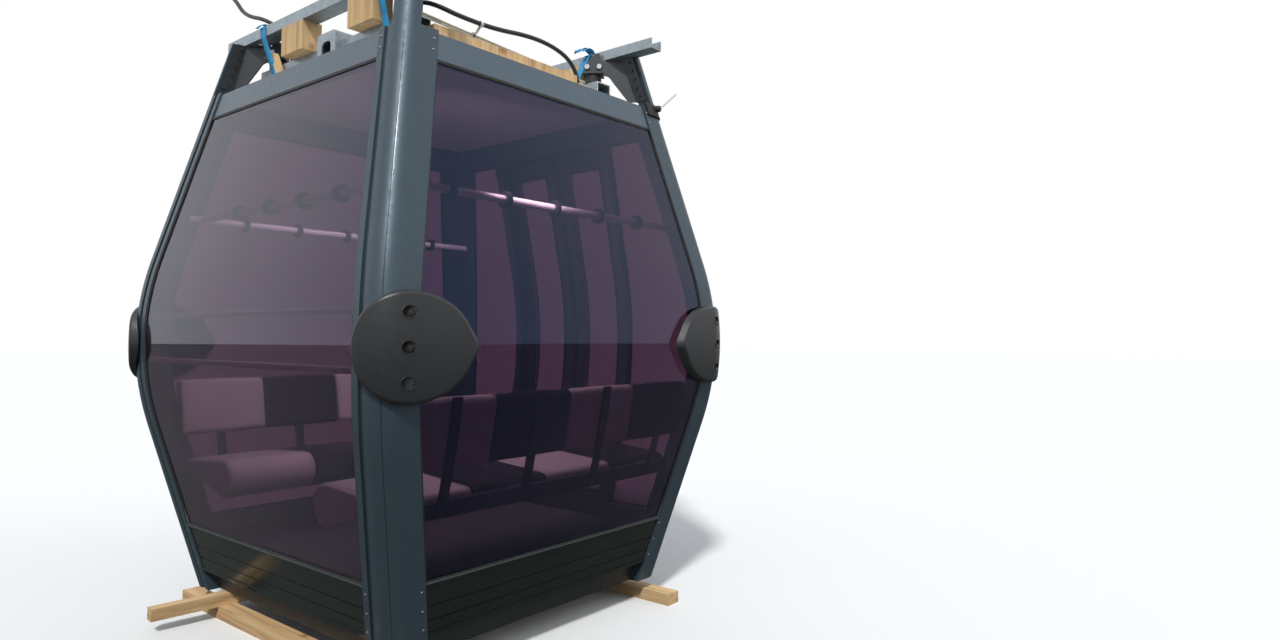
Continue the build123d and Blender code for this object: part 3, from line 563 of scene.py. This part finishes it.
def rounded(points, cut, cyclic=False, count=5):
    """A line with its corners cut and rounded."""
    made = []
    last = len(points) - 1
    for i, point in enumerate(points):
        here = Vector(point)
        if not cyclic and i in (0, last):
            made.append(here)
            continue
        before = Vector(points[i - 1]) - here
        after = Vector(points[(i + 1) % len(points)]) - here
        start = here + before.normalized() * min(cut, before.length * 0.45)
        end = here + after.normalized() * min(cut, after.length * 0.45)
        for t in steps(0, 1, count):
            made.append(start * (1 - t) ** 2 + here * 2 * t * (1 - t) + end * t ** 2)
    return made


def ring_around(place, reach_x, reach_z, count=16):
    """Points around a place, in the plane of X and Z."""
    return [place + Vector((reach_x * math.cos(a), 0, reach_z * math.sin(a)))
            for a in turn_angles(count)]


def ribbon(builder, points, across, width, thickness, cyclic=False):
    """A flat strap along points, with the direction of its width."""
    rings = []
    last = len(points) - 1
    for i, point in enumerate(points):
        before = points[i - 1] if i or cyclic else point
        after = points[(i + 1) % len(points)] if i < last or cyclic else point
        along = (after - before).normalized()
        normal = along.cross(Vector(across)).normalized()
        side = normal.cross(along).normalized()
        rings.append([point + side * (a * width / 2) + normal * (b * thickness / 2)
                      for a, b in ((1, 1), (1, -1), (-1, -1), (-1, 1))])
    loft(builder, rings, loop=cyclic)


def wall_strip(builder, is_end, sign, span, low, high, outer, inner, count=2):
    """A strip on an end wall or a side wall, between two heights and two offsets from it."""
    half = HALF_LENGTH if is_end else HALF_WIDTH
    heights = steps(low, high, count)
    section = [(wall(half, outer, z), z) for z in heights]
    section += [(wall(half, inner, z), z) for z in reversed(heights)]
    loft(builder, [
        [Vector((sign * d, s, z)) if is_end else Vector((s, sign * d, z)) for d, z in section]
        for s in span
    ])


# Gaskets

def end_wall_point(end, y, offset, z):
    """A point on an end wall, an offset out from it."""
    return Vector((end * wall(HALF_LENGTH, offset, z), y, z))


def side_wall_point(x, side, offset, z):
    """A point on a side wall, an offset out from it."""
    return Vector((x, side * wall(HALF_WIDTH, offset, z), z))


def pane_outline(point_at, side_at, low, high):
    """The four edges of a pane as a closed line: up one side, across, down the other, across."""
    heights = steps(low, high, PANE_STEPS)
    up = [point_at(side_at(z), z) for z in heights]
    down = [point_at(-side_at(z), z) for z in reversed(heights)]
    return up + down


def make_gaskets(materials):
    """Black rubber beads between the panes and what holds them."""
    low = GLASS_LOW + GASKET_INSET
    high = GLASS_HIGH - GASKET_INSET

    def end_edge(z):
        return wall(HALF_WIDTH, -POST_LEG, z) - GASKET_INSET

    def side_edge(z):
        return wall(HALF_LENGTH, -POST_LEG, z) - GASKET_INSET

    outlines = {}
    for end, name in ENDS:
        outlines[name] = pane_outline(
            lambda y, z: end_wall_point(end, y, GASKET_OFFSET, z), end_edge, low, high)
    outlines["window"] = pane_outline(
        lambda x, z: side_wall_point(x, -1, GASKET_OFFSET, z), side_edge, low, high)
    heights = steps(low, high, PANE_STEPS)
    jamb_edge = JAMB_X + GASKET_INSET
    for end, name in ENDS:
        near = [side_wall_point(end * jamb_edge, 1, GASKET_OFFSET, z) for z in heights]
        far = [side_wall_point(end * side_edge(z), 1, GASKET_OFFSET, z) for z in reversed(heights)]
        outlines[f"door_side_{name}"] = near + far
    for name, outline in outlines.items():
        tube(f"gasket_{name}", outline, GASKET_RADIUS, materials["gasket"], cyclic=True)


def make_header_seals(materials):
    """The black rubber under each header, and the brighter lip along the top of each skirt."""
    seals = bmesh.new()
    lips = bmesh.new()
    for is_end, sign in ((True, 1), (True, -1), (False, 1), (False, -1)):
        across = HALF_WIDTH if is_end else HALF_LENGTH
        reach = wall(across, -POST_LEG, GLASS_HIGH) - 0.001
        wall_strip(seals, is_end, sign, (-reach, reach), GLASS_HIGH - 0.012, GLASS_HIGH + 0.001,
                   0.0022, -0.006)
        if is_end or sign < 0:  # the doors come down over the skirt of their side
            reach = wall(across, -POST_LEG, GLASS_LOW) - 0.001
            wall_strip(lips, is_end, sign, (-reach, reach), GLASS_LOW - 0.004, GLASS_LOW + 0.002,
                       0.0075, -0.001)
    add_object("header_seals", mesh_of("header_seals", seals), materials["gasket"], smooth=False)
    add_object("skirt_lips", mesh_of("skirt_lips", lips), materials["lip"], smooth=False)


def door_window_outline():
    """The rounded edge of a door's window as X and Z, with close steps up its long sides."""
    corners = [(DOOR_WINDOW_X + side * DOOR_WINDOW_HALF, z, 0) for side, z in (
        (-1, DOOR_WINDOW_LOW), (1, DOOR_WINDOW_LOW), (1, DOOR_WINDOW_HIGH), (-1, DOOR_WINDOW_HIGH))]
    edge = [(p.x, p.y) for p in rounded(corners, DOOR_WINDOW_CORNER, cyclic=True)]
    outline = []
    for (x, z), (next_x, next_z) in zip(edge, edge[1:] + edge[:1]):
        pieces = 24 if abs(next_z - z) > 0.5 else 1
        outline += [(mix(x, next_x, i / pieces), mix(z, next_z, i / pieces)) for i in range(pieces)]
    return outline


def make_door_details(materials):
    """Rubber around the door windows, along the meeting edges and down the jambs."""
    gasket = materials["gasket"]
    inner_face = LEAF_OUTER - LEAF_THICKNESS
    outline = door_window_outline()
    for sign, body in ((1, "door_front"), (-1, "door_back")):
        for offset, face in ((LEAF_OUTER, "outer"), (inner_face, "inner")):
            line = [side_wall_point(sign * x, 1, offset, z) for x, z in outline]
            tube(f"{body}_glass_seal_{face}", line, DOOR_SEAL_RADIUS, gasket, body=body,
                 cyclic=True)
        builder = bmesh.new()
        span = (sign * (DOOR_GAP / 2 - 0.0012), sign * 0.015)
        for outer, inner in ((LEAF_OUTER + 0.0025, LEAF_OUTER - 0.001),
                             (inner_face + 0.001, inner_face - 0.0025)):
            wall_strip(builder, False, 1, span, LEAF_LOW + 0.004, LEAF_HIGH - 0.004, outer, inner,
                       SEAL_STEPS)
        name = f"{body}_meeting_seal"
        add_object(name, mesh_of(name, builder), gasket, body=body, smooth=False)
    builder = bmesh.new()
    for sign in (1, -1):
        wall_strip(builder, False, 1, (sign * 0.406, sign * 0.418), FLOOR_TOP + 0.005,
                   GLASS_HIGH - 0.015, 0.008, -0.001, SEAL_STEPS)
    add_object("jamb_seals", mesh_of("jamb_seals", builder), gasket, smooth=False)


# Cushions

def pod(centre_a, radius_a, centre_b, radius_b, inset, count=18):
    """The outline around two circles: an arc on each, joined by straight lines."""
    ax, az = centre_a
    bx, bz = centre_b
    ra = radius_a - inset
    rb = radius_b - inset
    distance = math.hypot(bx - ax, bz - az)
    heading = math.atan2(bz - az, bx - ax)
    spread_angle = math.acos((ra - rb) / distance)
    points = []
    for i in range(count + 1):
        angle = heading + spread_angle + (2 * math.pi - 2 * spread_angle) * i / count
        points.append((ax + ra * math.cos(angle), az + ra * math.sin(angle)))
    for i in range(count + 1):
        angle = heading - spread_angle + 2 * spread_angle * i / count
        points.append((bx + rb * math.cos(angle), bz + rb * math.sin(angle)))
    return points


def pad_rings(outline_at, end, middle):
    """Rings across a pad: rounded at both ends and a little fuller in the middle."""
    inner = SEAT_HALF - PAD_EDGE
    stations = []
    for angle in steps(0, math.pi / 2, 5):
        stations.append((inner + PAD_EDGE * math.cos(angle), PAD_EDGE * (1 - math.sin(angle))))
    for fraction in (0.92, 0.75, 0.5, 0.25, 0.0):
        stations.append((inner * fraction, -PAD_CROWN * (1 - fraction ** 2)))
    across = [(-y, inset) for y, inset in stations]
    across += [(y, inset) for y, inset in reversed(stations[:-1])]
    return [[Vector((end * x, middle + y, z)) for x, z in outline_at(inset)] for y, inset in across]


def seam_rings(outline, end, y):
    """Rings of the seam bead that runs along a pad's outline, at one place across."""
    rings = []
    for i, (x, z) in enumerate(outline):
        before_x, before_z = outline[i - 1]
        after_x, after_z = outline[(i + 1) % len(outline)]
        out = Vector((after_z - before_z, 0, before_x - after_x)).normalized() * SEAM_RADIUS
        rings.append([
            Vector((end * (x + out.x * math.cos(a)), y + SEAM_RADIUS * math.sin(a),
                    z + out.z * math.cos(a)))
            for a in turn_angles(6)
        ])
    return rings


def make_pads(materials):
    """Seats and backrests: moulded pads with rounded ends, crowned faces and a seam at each end."""
    places = [(i - 1.5) * SEAT_PITCH for i in range(4)]
    roll = (ROLL_X, SEAT_TOP - ROLL_RADIUS)
    tail = (TAIL_X, SEAT_TOP - TAIL_RADIUS - TAIL_DROP)
    low = BACK_LOW + BACK_RADIUS
    high = BACK_HIGH - BACK_RADIUS
    foot = (wall(HALF_LENGTH, BACK_SETBACK, low), low)
    top = (wall(HALF_LENGTH, BACK_SETBACK, high), high)
    back_radius = BACK_RADIUS - PAD_CROWN
    kinds = {
        "cushions": lambda inset: pod(roll, ROLL_RADIUS - PAD_CROWN, tail, TAIL_RADIUS - PAD_CROWN,
                                      inset),
        "backrests": lambda inset: pod(foot, back_radius, top, back_radius, inset, 12),
    }
    seam_y = SEAT_HALF - PAD_EDGE - 0.004
    for kind, outline_at in kinds.items():
        for shade, chosen in (("light", places[0::2]), ("dark", places[1::2])):
            material = materials[f"vinyl_{shade}"]
            pads = bmesh.new()
            seams = bmesh.new()
            for end in (1, -1):
                for place in chosen:
                    loft(pads, pad_rings(outline_at, end, place))
                    for side in (1, -1):
                        outline = outline_at(-PAD_CROWN * 0.3)
                        loft(seams, seam_rings(outline, end, place + side * seam_y), loop=True)
            piece = add_object(f"{kind}_{shade}_pads", mesh_of(f"{kind}_{shade}", pads), material)
            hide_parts(f"{kind}_{shade}")
            name = f"{kind}_{shade}_seams"
            add_object(name, mesh_of(name, seams), material)


# Floor

def make_floor_ribs(materials):
    """Fine ribs of the floor covering, along the line of travel."""
    builder = bmesh.new()
    half_x = wall(HALF_LENGTH, -POST_DEPTH, FLOOR_TOP) - 0.01
    half_y = wall(HALF_WIDTH, -POST_DEPTH, FLOOR_TOP) - 0.01
    section = ((-RIB_PITCH * 0.33, 0), (RIB_PITCH * 0.33, 0),
               (RIB_PITCH * 0.2, RIB_HEIGHT), (-RIB_PITCH * 0.2, RIB_HEIGHT))
    for i in range(int(2 * half_y / RIB_PITCH)):
        y = -half_y + (i + 0.5) * RIB_PITCH
        beside_post = abs(y) > wall(HALF_WIDTH, -POST_LEG, FLOOR_TOP) - 0.01
        end = wall(HALF_LENGTH, -POST_LEG, FLOOR_TOP) - 0.01 if beside_post else half_x
        loft(builder, [
            [Vector((x, y + dy, FLOOR_TOP - 0.0005 + dz)) for dy, dz in section]
            for x in (-end, end)
        ])
    add_object("floor_ribs", mesh_of("floor_ribs", builder), materials["floor"], smooth=False)


# Bolts and rivets

def at_cover(end, side, along, outward, rise):
    """A place at a waist cover: along it and out from the corner line, and up from its middle."""
    z = WAIST - COVER_DROP + rise
    return Vector((end * (wall(HALF_LENGTH, 0, z) + (along + outward) * DIAGONAL),
                   side * (wall(HALF_WIDTH, 0, z) + (outward - along) * DIAGONAL), z))


def hole_rim_rings(end, side, rise):
    """Rings of the rounded rim around one hole of a waist cover, on the cover's round face."""
    nose = COVER_ROUND - (COVER_ROUND - COVER_OUTSIDE) / DIAGONAL
    rings = []
    for angle in turn_angles(28):
        ring = []
        for turn in turn_angles(6):
            reach = COVER_HOLE_RADIUS + COVER_RIM_RADIUS * math.cos(turn)
            along = COVER_ROUND_MIDDLE + reach * math.cos(angle)
            surface = nose - COVER_ROUND + math.sqrt(COVER_ROUND ** 2 - along ** 2)
            ring.append(at_cover(end, side, along, surface + COVER_RIM_RADIUS * math.sin(turn),
                                 rise + reach * math.sin(angle)))
        rings.append(ring)
    return rings


def make_cover_bolts(materials):
    """A rounded rim around each hole of the waist covers, and a near-black socket bolt at its
    bottom, darkened as painted shade of the hole.
    """
    bolts = bmesh.new()
    socket_shade_discs = bmesh.new()
    rims = bmesh.new()
    bolt_height = 0.007
    for end, side in CORNERS:
        out = Vector((end * DIAGONAL, side * DIAGONAL, 0))
        for rise in (-COVER_HOLE_PITCH, 0, COVER_HOLE_PITCH):
            loft(rims, hole_rim_rings(end, side, rise), loop=True)
            place = at_cover(end, side, COVER_ROUND_MIDDLE, COVER_HOLE_FLOOR, rise)
            head(bolts, place, out, 0.0165, bolt_height, sides=14)
            # A flat black disc on each bolt head stands for its socket recess: painted shade.
            head(socket_shade_discs, place + out * bolt_height, out, 0.0068, 0.0006)
    add_object("cover_hole_rims", mesh_of("cover_hole_rims", rims), materials["cover"])
    add_object("cover_bolts", mesh_of("cover_bolts", bolts), materials["socket"], smooth=False)
    add_object("cover_bolt_socket_shade_discs", mesh_of("cover_bolt_socket_shade_discs", socket_shade_discs), materials["gasket"],
               smooth=False)


def make_gusset_bolts(materials):
    """Two large bolts through each gusset, and five down each inner face of a post's head."""
    large = bmesh.new()
    small = bmesh.new()
    along = Vector((math.cos(GUSSET_TURN), math.sin(GUSSET_TURN), 0))
    out = Vector((math.sin(GUSSET_TURN), -math.cos(GUSSET_TURN), 0))
    middle = Vector((DAMPER_X, ARM_Y, GUSSET_BOLT_Z))
    for end, side in CORNERS:
        for shift in (-GUSSET_BOLT_PITCH / 2, GUSSET_BOLT_PITCH / 2):
            for face in (1, -1):
                place = middle + along * shift + out * face * 0.005
                head(large, (end * place.x, side * place.y, place.z),
                     (end * face * out.x, side * face * out.y, 0), 0.0165, 0.010)
        for z in steps(2.560, 2.735, 5):
            x = wall(HALF_LENGTH, -FLANGE_INNER, z)
            y = wall(HALF_WIDTH, -FLANGE_MIDDLE, z)
            head(small, (end * x, side * y, z), (-end, 0, -0.22), 0.0085, 0.006)
            x = wall(HALF_LENGTH, -FLANGE_MIDDLE, z)
            y = wall(HALF_WIDTH, -FLANGE_INNER, z)
            head(small, (end * x, side * y, z), (0, -side, -0.22), 0.0085, 0.006)
    add_object("gusset_bolts", mesh_of("gusset_bolts", large), materials["bolt"], smooth=False)
    add_object("post_head_bolts", mesh_of("post_head_bolts", small), materials["bolt_dark"],
               smooth=False)


def make_rivets(materials):
    """Rivets beside the ends of the headers and the skirts, on both faces of each post."""
    rows = [(z, 0.22, 0.0065, 0.003) for z in (GLASS_HIGH + 0.035, HEADER_TOP - 0.03)]
    rows += [(z, -0.24, 0.0055, 0.0025)
             for z in (SKIRT_LOW + 0.03, SKIRT_LOW + 0.105, GLASS_LOW - 0.03)]
    builder = bmesh.new()
    for end, side in CORNERS:
        for z, tilt, radius, height in rows:
            x = end * (wall(HALF_LENGTH, -POST_LEG, z) + 0.018)
            y = side * (wall(HALF_WIDTH, -POST_LEG, z) + 0.018)
            head(builder, (end * wall(HALF_LENGTH, 0.006, z), y, z), (end, 0, tilt),
                 radius, height, 10, 1)
            head(builder, (x, side * wall(HALF_WIDTH, 0.006, z), z), (0, side, tilt),
                 radius, height, 10, 1)
    add_object("rivets", mesh_of("rivets", builder), materials["rivet"])


def make_post_seams(materials):
    """The fine joint line down the nose of each post, above and below its waist cover."""
    reach = POST_NOSE_RADIUS * DIAGONAL
    parts = (("low", SKIRT_LOW + 0.004, WAIST - 0.190), ("high", WAIST + 0.158, HEADER_TOP - 0.04))
    for end, end_name in ENDS:
        for side, side_name in SIDES:
            for part, low, high in parts:
                line = [Vector((end * (wall(HALF_LENGTH, POST_NOSE_OFFSET, z) + reach),
                                side * (wall(HALF_WIDTH, POST_NOSE_OFFSET, z) + reach), z))
                        for z in steps(low, high, 24)]
                tube(f"post_seam_{end_name}_{side_name}_{part}", line, 0.0014,
                     materials["gasket"], sides=1)


# Loose things on the roof

STRAP_WIDTH = 0.044
STRAP_THICKNESS = 0.0022


def make_straps(materials):
    """Blue lashing straps around a hanger beam and the roof arm below it, at three corners."""
    builder = bmesh.new()
    section = ((0.6782, 2.8122), (0.6782, 2.7570), (0.6172, 2.5432), (0.5128, 2.5432),
               (0.5128, 2.6270), (0.5920, 2.8122))
    loops = (
        (1, 1, (0.490, 0.490, 0.476, 0.446, 0.452, 0.484)),
        (1, -1, (0.490, 0.490, 0.476, 0.446, 0.452, 0.484)),
        (-1, -1, (0.490, 0.482, 0.452, 0.450, 0.458, 0.484)),
    )
    for end, side, places in loops:
        line = [(end * x, side * y, z) for x, (y, z) in zip(places, section)]
        ribbon(builder, rounded(line, 0.008, cyclic=True), (1, 0, 0), STRAP_WIDTH,
               STRAP_THICKNESS, cyclic=True)
    tails = (
        ((0.486, 0.640, 2.8150), (0.478, 0.612, 2.8300), (0.468, 0.586, 2.8500),
         (0.455, 0.562, 2.8420), (0.447, 0.546, 2.8180), (0.440, 0.536, 2.8240)),
        ((0.492, 0.630, 2.8145), (0.503, 0.598, 2.8340), (0.499, 0.568, 2.8380),
         (0.487, 0.542, 2.8180)),
        ((-0.486, -0.640, 2.8150), (-0.491, -0.658, 2.8235), (-0.498, -0.684, 2.8210),
         (-0.504, -0.700, 2.7980)),
    )
    for tail in tails:
        ribbon(builder, rounded(tail, 0.02), (1, 0.2, 0), STRAP_WIDTH * 0.6, STRAP_THICKNESS)
    add_object("lashing_straps", mesh_of("lashing_straps", builder), materials["strap"])


def make_rods(materials):
    """Two thin rods on the roof arms, with the clip and the tie that hold them to the cable."""
    for name, rise in (("rod_low", 0), ("rod_high", 0.0098)):
        window_end = Vector((0.6160 + rise * 0.2, -0.585, 2.6303 + rise))
        door_end = Vector((0.518 + rise * 0.2, 0.548, 2.6303 + rise))
        tube(name, [window_end.lerp(door_end, t) for t in steps(0, 1, 9)], 0.005, materials["rod"])
    cable_at = Vector((0.6843, -0.303, 2.6545))
    rods_at = Vector((0.5900, -0.272, 2.6355))
    builder = bmesh.new()
    ribbon(builder, ring_around(cable_at, 0.0118, 0.0118), (0, 1, 0), 0.013, 0.003, cyclic=True)
    arm = [cable_at + Vector((-0.004, -0.004, -0.0128)),
           cable_at.lerp(rods_at, 0.5) - Vector((0, 0, 0.010)),
           rods_at + Vector((0.012, 0, 0.002))]
    ribbon(builder, arm, (0, 1, 0), 0.011, 0.003)
    add_object("cable_clip", mesh_of("cable_clip", builder), materials["white"])
    builder = bmesh.new()
    ribbon(builder, ring_around(rods_at, 0.0145, 0.0125), (0, 1, 0), 0.006, 0.002, cyclic=True)
    loose_end = [rods_at + Vector((0, 0, -0.013)), rods_at + Vector((0.006, -0.004, -0.030)),
                 rods_at + Vector((0.004, -0.012, -0.045))]
    ribbon(builder, loose_end, (0, 1, 0), 0.005, 0.0018)
    add_object("cable_tie", mesh_of("cable_tie", builder), materials["gasket"])


def make_arm_rims(materials):
    """The bright cut edge at the end of each hollow roof arm."""
    builder = bmesh.new()
    rim = 0.005
    bars = (
        (-ARM_HALF, -ARM_HALF + rim, ARM_LOW, ARM_TOP),
        (ARM_HALF - rim, ARM_HALF, ARM_LOW, ARM_TOP),
        (-ARM_HALF + rim, ARM_HALF - rim, ARM_LOW, ARM_LOW + rim),
        (-ARM_HALF + rim, ARM_HALF - rim, ARM_TOP - rim, ARM_TOP),
    )
    for end, side in CORNERS:
        for near, far, low, high in bars:
            box(builder, (end * ARM_END - 0.0005, side * ARM_Y + near, low),
                (end * (ARM_END + 0.0016), side * ARM_Y + far, high))
    add_object("arm_end_rims", mesh_of("arm_end_rims", builder), materials["white"], smooth=False)


def make_timber_scraps(materials):
    """A timber wedge that leans beside the window-side beam, and an offcut at the front plank."""
    builder = bmesh.new()
    foot = Vector((-0.352, -0.6315, 2.4975))
    lean = Matrix.Rotation(math.radians(-31), 3, "Y")
    box(builder, foot + Vector((-0.017, -0.011, 0.009)), foot + Vector((0.017, 0.011, 0.205)),
        lean, foot)
    add_object("timber_wedge", mesh_of("timber_wedge", builder), materials["wood_z"], smooth=False)
    builder = bmesh.new()
    box(builder, (0.640, 0.262, 2.4952), (0.728, 0.338, 2.5300))
    box(builder, (0.640, 0.338, 2.4952), (0.664, 0.366, 2.5300))
    add_object("timber_offcut", mesh_of("timber_offcut", builder), materials["wood_y"],
               smooth=False)


def make_post_clamp(materials):
    """A black rubber clamp around the head of the front door post, with a thin white rod in it."""
    builder = bmesh.new()
    inner = POST_NOSE_RADIUS
    outer = POST_NOSE_RADIUS + CLAMP_THICKNESS
    section = ((CLAMP_LOW, inner), (CLAMP_LOW, outer), (CLAMP_HIGH, outer), (CLAMP_HIGH, inner))
    stations = [(0, s) for s in (0.062, 0.03)] + [(angle, 0) for angle in steps(0, math.pi / 2, 9)]
    stations += [(math.pi / 2, s) for s in (0.03, 0.062)]
    rings = []
    for angle, straight in stations:
        back_x, back_y = (straight, 0) if angle else (0, straight)
        rings.append([
            Vector((wall(HALF_LENGTH, POST_NOSE_OFFSET, z) + radius * math.cos(angle) - back_x,
                    wall(HALF_WIDTH, POST_NOSE_OFFSET, z) + radius * math.sin(angle) - back_y, z))
            for z, radius in section
        ])
    loft(builder, rings)
    knob = Vector((wall(HALF_LENGTH, POST_NOSE_OFFSET, KNOB_Z) + 0.082,
                   wall(HALF_WIDTH, POST_NOSE_OFFSET, KNOB_Z) + 0.022, KNOB_Z))
    head(builder, knob, (0.966, 0.259, 0), 0.017, 0.022, sides=10)
    add_object("post_clamp", mesh_of("post_clamp", builder), materials["rubber"], smooth=False)
    start, end = Vector((0.829, 0.750, 2.485)), Vector((0.830, 0.912, 2.612))
    tube("clamp_rod", [start, start.lerp(end, 0.5), end], 0.0055, materials["white"])


# Stage

def greater(nodes, links, first, second):
    """The greater of two values."""
    node = nodes.new("ShaderNodeMath")
    node.operation = "MAXIMUM"
    links.new(first, node.inputs[0])
    links.new(second, node.inputs[1])
    return node.outputs["Value"]


def make_floor():
    """A floor that is pale to the camera and through the panes, and darker to other rays."""
    builder = bmesh.new()
    bmesh.ops.create_grid(builder, x_segments=2, y_segments=2, size=60)
    floor = bpy.data.objects.new("studio_floor", mesh_of("studio_floor", builder))
    bpy.context.scene.collection.objects.link(floor)
    material, nodes, links, shader, _ = new_material("studio_floor")
    shader.inputs["Roughness"].default_value = 0.9
    shader.inputs["Specular IOR Level"].default_value = 0.1
    path = nodes.new("ShaderNodeLightPath").outputs
    shown = greater(nodes, links, path["Is Camera Ray"], path["Is Transmission Ray"])
    shades = [(0, (0.12, 0.125, 0.115)), (1, (0.80, 0.80, 0.79))]
    links.new(ramp(nodes, links, shown, shades), shader.inputs["Base Color"])
    floor.data.materials.append(material)


def make_world():
    """A pale blue light, and white for what the camera and clear or shiny surfaces see."""
    world = bpy.data.worlds.new("studio")
    bpy.context.scene.world = world
    world.use_nodes = True
    nodes = world.node_tree.nodes
    links = world.node_tree.links
    nodes.clear()
    output = nodes.new("ShaderNodeOutputWorld")
    choose = nodes.new("ShaderNodeMixShader")
    for place, colour, strength in ((1, (0.86, 0.92, 1.0), 0.62), (2, (1, 1, 1), 1.0)):
        background = nodes.new("ShaderNodeBackground")
        background.inputs["Color"].default_value = (*colour, 1)
        background.inputs["Strength"].default_value = strength
        links.new(background.outputs["Background"], choose.inputs[place])
    path = nodes.new("ShaderNodeLightPath").outputs
    seen = greater(nodes, links, path["Is Camera Ray"], path["Is Glossy Ray"])
    seen = greater(nodes, links, seen, path["Is Transmission Ray"])
    links.new(seen, choose.inputs["Fac"])
    links.new(choose.outputs["Shader"], output.inputs["Surface"])


def add_lamp(name, kind, energy, toward):
    """A lamp turned to shine from a direction, which clear surfaces don't show."""
    data = bpy.data.lights.new(name, kind)
    data.energy = energy
    lamp = bpy.data.objects.new(name, data)
    lamp.rotation_euler = Vector(toward).to_track_quat("Z", "Y").to_euler()
    lamp.visible_transmission = False
    bpy.context.scene.collection.objects.link(lamp)
    return lamp


def make_lamps():
    """Two suns outside, and two soft lamps for the inside that nothing mirrors."""
    for name, energy, toward, angle in (
        ("key_lamp", 2.6, (3.0, -4.5, 6.0), 6), ("fill_lamp", 0.5, (5.0, 3.0, 3.0), 40),
    ):
        lamp = add_lamp(name, "SUN", energy, toward)
        lamp.data.angle = math.radians(angle)
        lamp.visible_glossy = name == "key_lamp"
    for name, energy, size, place, toward in (
        ("cabin_lamp", 32, 1.1, (0, 0, 2.30), (0, 0, 1)),
        ("pane_lamp", 14, 0.4, (0.76, -0.15, 2.06), (0.78, -0.15, 0.8)),
    ):
        lamp = add_lamp(name, "AREA", energy, toward)
        lamp.data.size = size
        lamp.location = place
        lamp.visible_camera = False
        lamp.visible_glossy = False


make_camera()
materials = make_materials()
make_cable(materials)
dress_nodes(materials)
make_gaskets(materials)
make_header_seals(materials)
make_door_details(materials)
make_pads(materials)
make_floor_ribs(materials)
make_cover_bolts(materials)
make_gusset_bolts(materials)
make_rivets(materials)
make_post_seams(materials)
make_straps(materials)
make_rods(materials)
make_arm_rims(materials)
make_timber_scraps(materials)
make_post_clamp(materials)
make_floor()
make_world()
make_lamps()
bpy.context.scene.view_settings.view_transform = "Standard"
